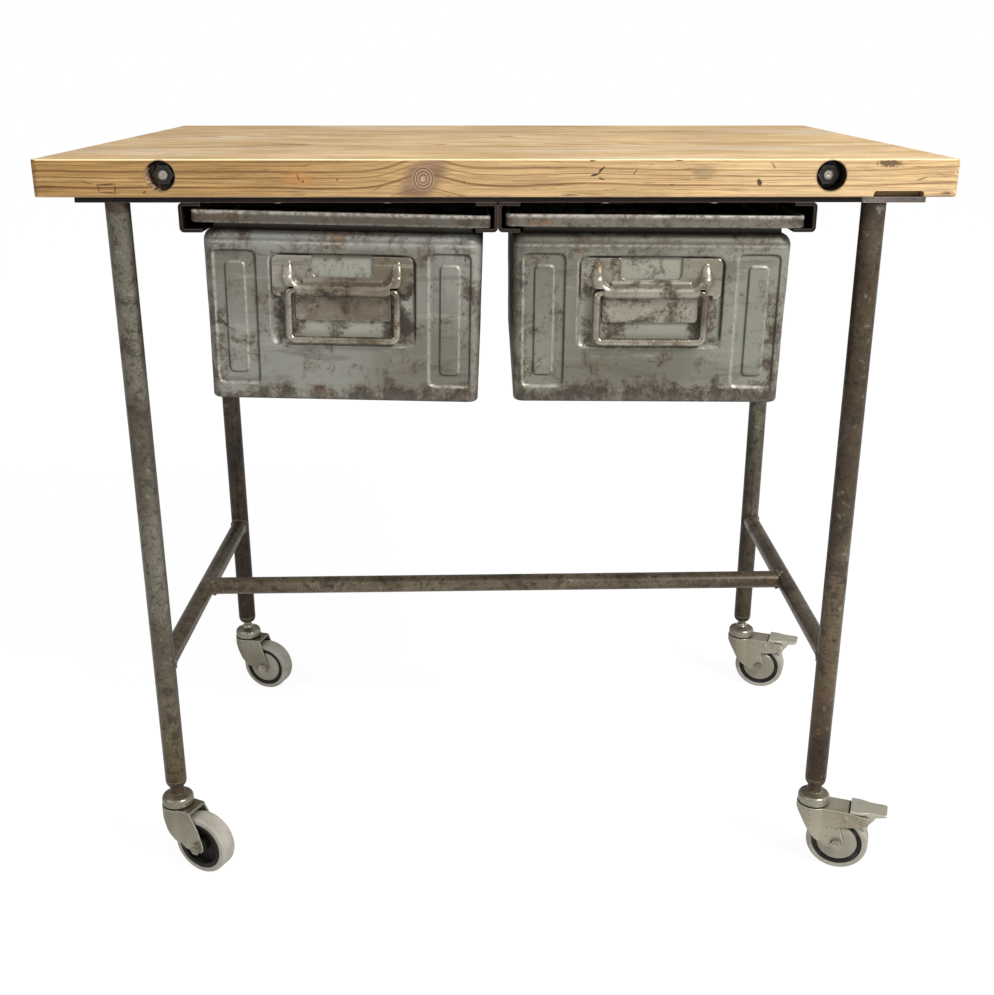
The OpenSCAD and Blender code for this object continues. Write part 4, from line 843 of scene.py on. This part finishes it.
def box_steel(name, light, dark, seed, rim_tone, shoulder_tone, drawn=True, polish=0.0):
    """Grey green box steel: cloudy oxide, brown rust towards the edges and low down, and bright ridges, partly wear
    and partly painted highlight. A drawn shell carries its own places of these and of grease and painted shade; a
    strap takes the first from the pointiness of its form and the second from ambient occlusion."""
    made = new_material(name)
    place = node("TexCoord", out="Object")
    shifted = node("VectorMath", {0: place, 1: (seed, seed * 0.7, 0.0)}, operation="ADD")
    masks = use(worn_metal, Vector=shifted, Scale=1.0)
    x, z = node("SeparateXYZ", {0: place}, ("X", "Z"))
    if drawn:
        worn, grimy_and_shaded = (node("Attribute", out="Fac", attribute_name=label) for label in ("worn", "grimy_and_shaded"))
    else:
        worn = spread(node("NewGeometry", out="Pointiness"), 0.51, 0.56)
        grimy_and_shaded = spread(node("AmbientOcclusion", {"Distance": 0.012}, "AO", samples=6), 0.80, 0.30, 0.0, 0.85)
    base = blend(spread(masks["Clouds"], 0.36, 0.60), dark, light)
    wiped = cloud(stretch(shifted, (9.0, 9.0, 55.0)), 1.0, 5.0, 0.65, 0.6)
    base = blend(spread(wiped, 0.54, 0.66, 0.0, 0.5), base, shade(dark, 0.55))
    base = blend(spread(wiped, 0.44, 0.32, 0.0, 0.5), base, shade(light, 1.3))
    on_rim = spread(z, BOX_Z + LEDGE - 0.004, BOX_Z + LEDGE + 0.001)
    base = blend(on_rim * 0.75, base, rim_tone)
    base = blend(spread(z, 0.800, 0.806) * (1.0 - on_rim) * 0.6, base, shoulder_tone)
    from_middle = calc("ABSOLUTE", calc("ABSOLUTE", x) - BOX_X)
    low = spread(z, 0.668, 0.628, 0.0, 0.12) + spread(z, 0.655, 0.632, 0.0, 0.09)
    sides = spread(from_middle, 0.120, 0.158, 0.0, 0.09)
    high = spread(z, 0.785, 0.805, 0.0, 0.05) if drawn else 0.055
    reach = largest(low, sides, high) + on_rim * 0.03
    if drawn:
        # The recess floor is made lighter: partly cleaner sheet, partly painted light against the shade of the strap
        # and the bail.
        lightened_recess = spread(from_middle, 0.080, 0.074) * (spread(z, 0.690, 0.696) * spread(z, 0.794, 0.788))
        base = blend(lightened_recess * 0.6, base, shade(light, 1.7))
        beside_bail = lightened_recess * spread(z, 0.790, 0.765)
        reach = reach + beside_bail * spread(from_middle, 0.026, 0.060, 0.0, 0.11)
    stain = cloud(shifted, 30.0, 8.0, 0.68, 0.5)
    runs = cloud(stretch(shifted, (75.0, 75.0, 9.0)), 1.0, 4.0, 0.6, 0.3)
    reach = reach + (runs - 0.5) * spread(z, 0.685, 0.645, 0.0, 0.40)
    stained = stain + reach + (masks["Speckle"] - 0.5) * 0.42
    brown = spread(stained, 0.505, 0.66, 0.0, 0.88)
    base = blend(brown, base, (0.072, 0.051, 0.029))
    base = blend(spread(stained, 0.61, 0.73, 0.0, 0.85), base, (0.026, 0.018, 0.011))
    base = blend(spread(runs, 0.58, 0.68, 0.0, 0.45) * spread(stain, 0.40, 0.55), base, (0.110, 0.088, 0.060))
    orange = spread(cloud(shifted, 26.0, 6.0, 0.7), 0.60, 0.70, 0.0, 0.75)
    base = blend(orange * brown, base, (0.27, 0.135, 0.045))
    # Grease and painted shade along the pressings, in the neck and in the nooks.
    grease_and_shade = calc("MULTIPLY", grimy_and_shaded, spread(masks["Mottle"], 0.30, 0.60, 0.6, 1.0), clamp=True)
    base = blend(grease_and_shade * 0.85, base, (0.026, 0.020, 0.014))
    pitted = masks["Pits"] * spread(stain + reach, 0.46, 0.58, 0.15, 0.9)
    base = blend(pitted, base, (0.034, 0.024, 0.016))
    # Wear and painted highlights on the ridges and edges.
    rub_and_highlight = worn * spread(cloud(shifted, 150.0, 5.0, 0.7), 0.38, 0.60, 0.15, 1.0)
    base = blend(rub_and_highlight * 0.75, base, (0.62, 0.595, 0.52))
    base = blend(masks["Scratches"] * 0.15, base, (0.50, 0.48, 0.42))
    dull = spread(masks["Clouds"], 0.3, 0.7, 0.36 - polish * 0.14, 0.48 - polish * 0.14) + brown * 0.15 - rub_and_highlight * 0.12
    shine = calc("ADD", rub_and_highlight * 0.45, (1.0 - brown * 0.8) * (0.25 + polish * 0.5), clamp=True)
    height = masks["Blotches"] * 0.4 + stain * 0.3 - (pitted * 0.8 + masks["Scratches"] * 0.25)
    finish_material(base, dull, shine, height, 0.35)
    return made


for tag, side, light, dark, seed, rim_tone, shoulder_tone in (
        ("left", -1, (0.222, 0.220, 0.186), (0.150, 0.138, 0.110), 0.0, (0.050, 0.038, 0.028), (0.27, 0.275, 0.255)),
        ("right", 1, (0.206, 0.206, 0.166), (0.138, 0.129, 0.098), 5.3, (0.120, 0.104, 0.080),
         (0.075, 0.066, 0.048))):
    finish = box_steel(tag + "_box_steel", light, dark, seed, rim_tone, shoulder_tone)
    dress(box_shell(tag + "_box_drawn_shell", side), finish, tag + "_box", tag + "_box_shell")


# Handles: a pressed strap is spot welded in each recess and rolled round the bail, with a hollow bead
# up from each end of the roll. The bail is a bent rod, polished by hands.
WELD_Z, BEAD_Z = 0.1045, 0.12786


def strap_shape(side):
    """Runs the beads out into the strap, and presses the three dimples of the spot welds in each flap."""
    back, forth = np.array(box_place(side).inverted()), np.array(box_place(side))

    def shape(co):
        own = co @ back[:3, :3].T + back[:3, 3]
        for x in (-0.044, 0.0, 0.044):
            away = np.hypot(own[:, 0] - x, own[:, 2] - WELD_Z)
            outer = np.abs(own[:, 1]) > BOX_D / 2 - FOOT_IN - 0.0025
            own[:, 1] -= np.sign(own[:, 1]) * 0.0009 * peak(away, 0, 0.0022) * outer
        face = BOX_D / 2 - FOOT_IN + (own[:, 2] - FOOT_R) * 0.0115 - 0.001
        proud = np.maximum(np.abs(own[:, 1]) - face, 0)
        own[:, 1] -= np.sign(own[:, 1]) * proud * 0.7 * ease(own[:, 2] - BEAD_Z, 0.012, 0.031)
        return own @ forth[:3, :3].T + forth[:3, 3]
    return shape


for tag, side, light, dark, seed in (("left", -1, (0.37, 0.345, 0.290), (0.205, 0.170, 0.122), 1.7),
                                     ("right", 1, (0.35, 0.328, 0.260), (0.190, 0.160, 0.108), 7.9)):
    finish = box_steel(tag + "_strap_steel", light, dark, seed, dark, light, drawn=False, polish=1.0)
    strap = softened(tag + "_pressed_straps", tag + "_box_straps", 5, 0.3, strap_shape(side))
    dress(strap, finish, tag + "_box", tag + "_box_straps")
# The bail carries strong painted shade on its sides and underneath, and grime and painted shade in its nooks.
wear(steel("bail_steel", (0.40, 0.36, 0.29), (0.15, 0.115, 0.074), (0.11, 0.064, 0.030), 0.50,
           (0.78, 0.75, 0.68), 0.001, 0.9, 0.20, 0.3, 2.2, 0.95, speckled=0.3, mottled=0.35, side_shade=0.85),
     "left_front_bail", "left_rear_bail", "right_front_bail", "right_rear_bail")
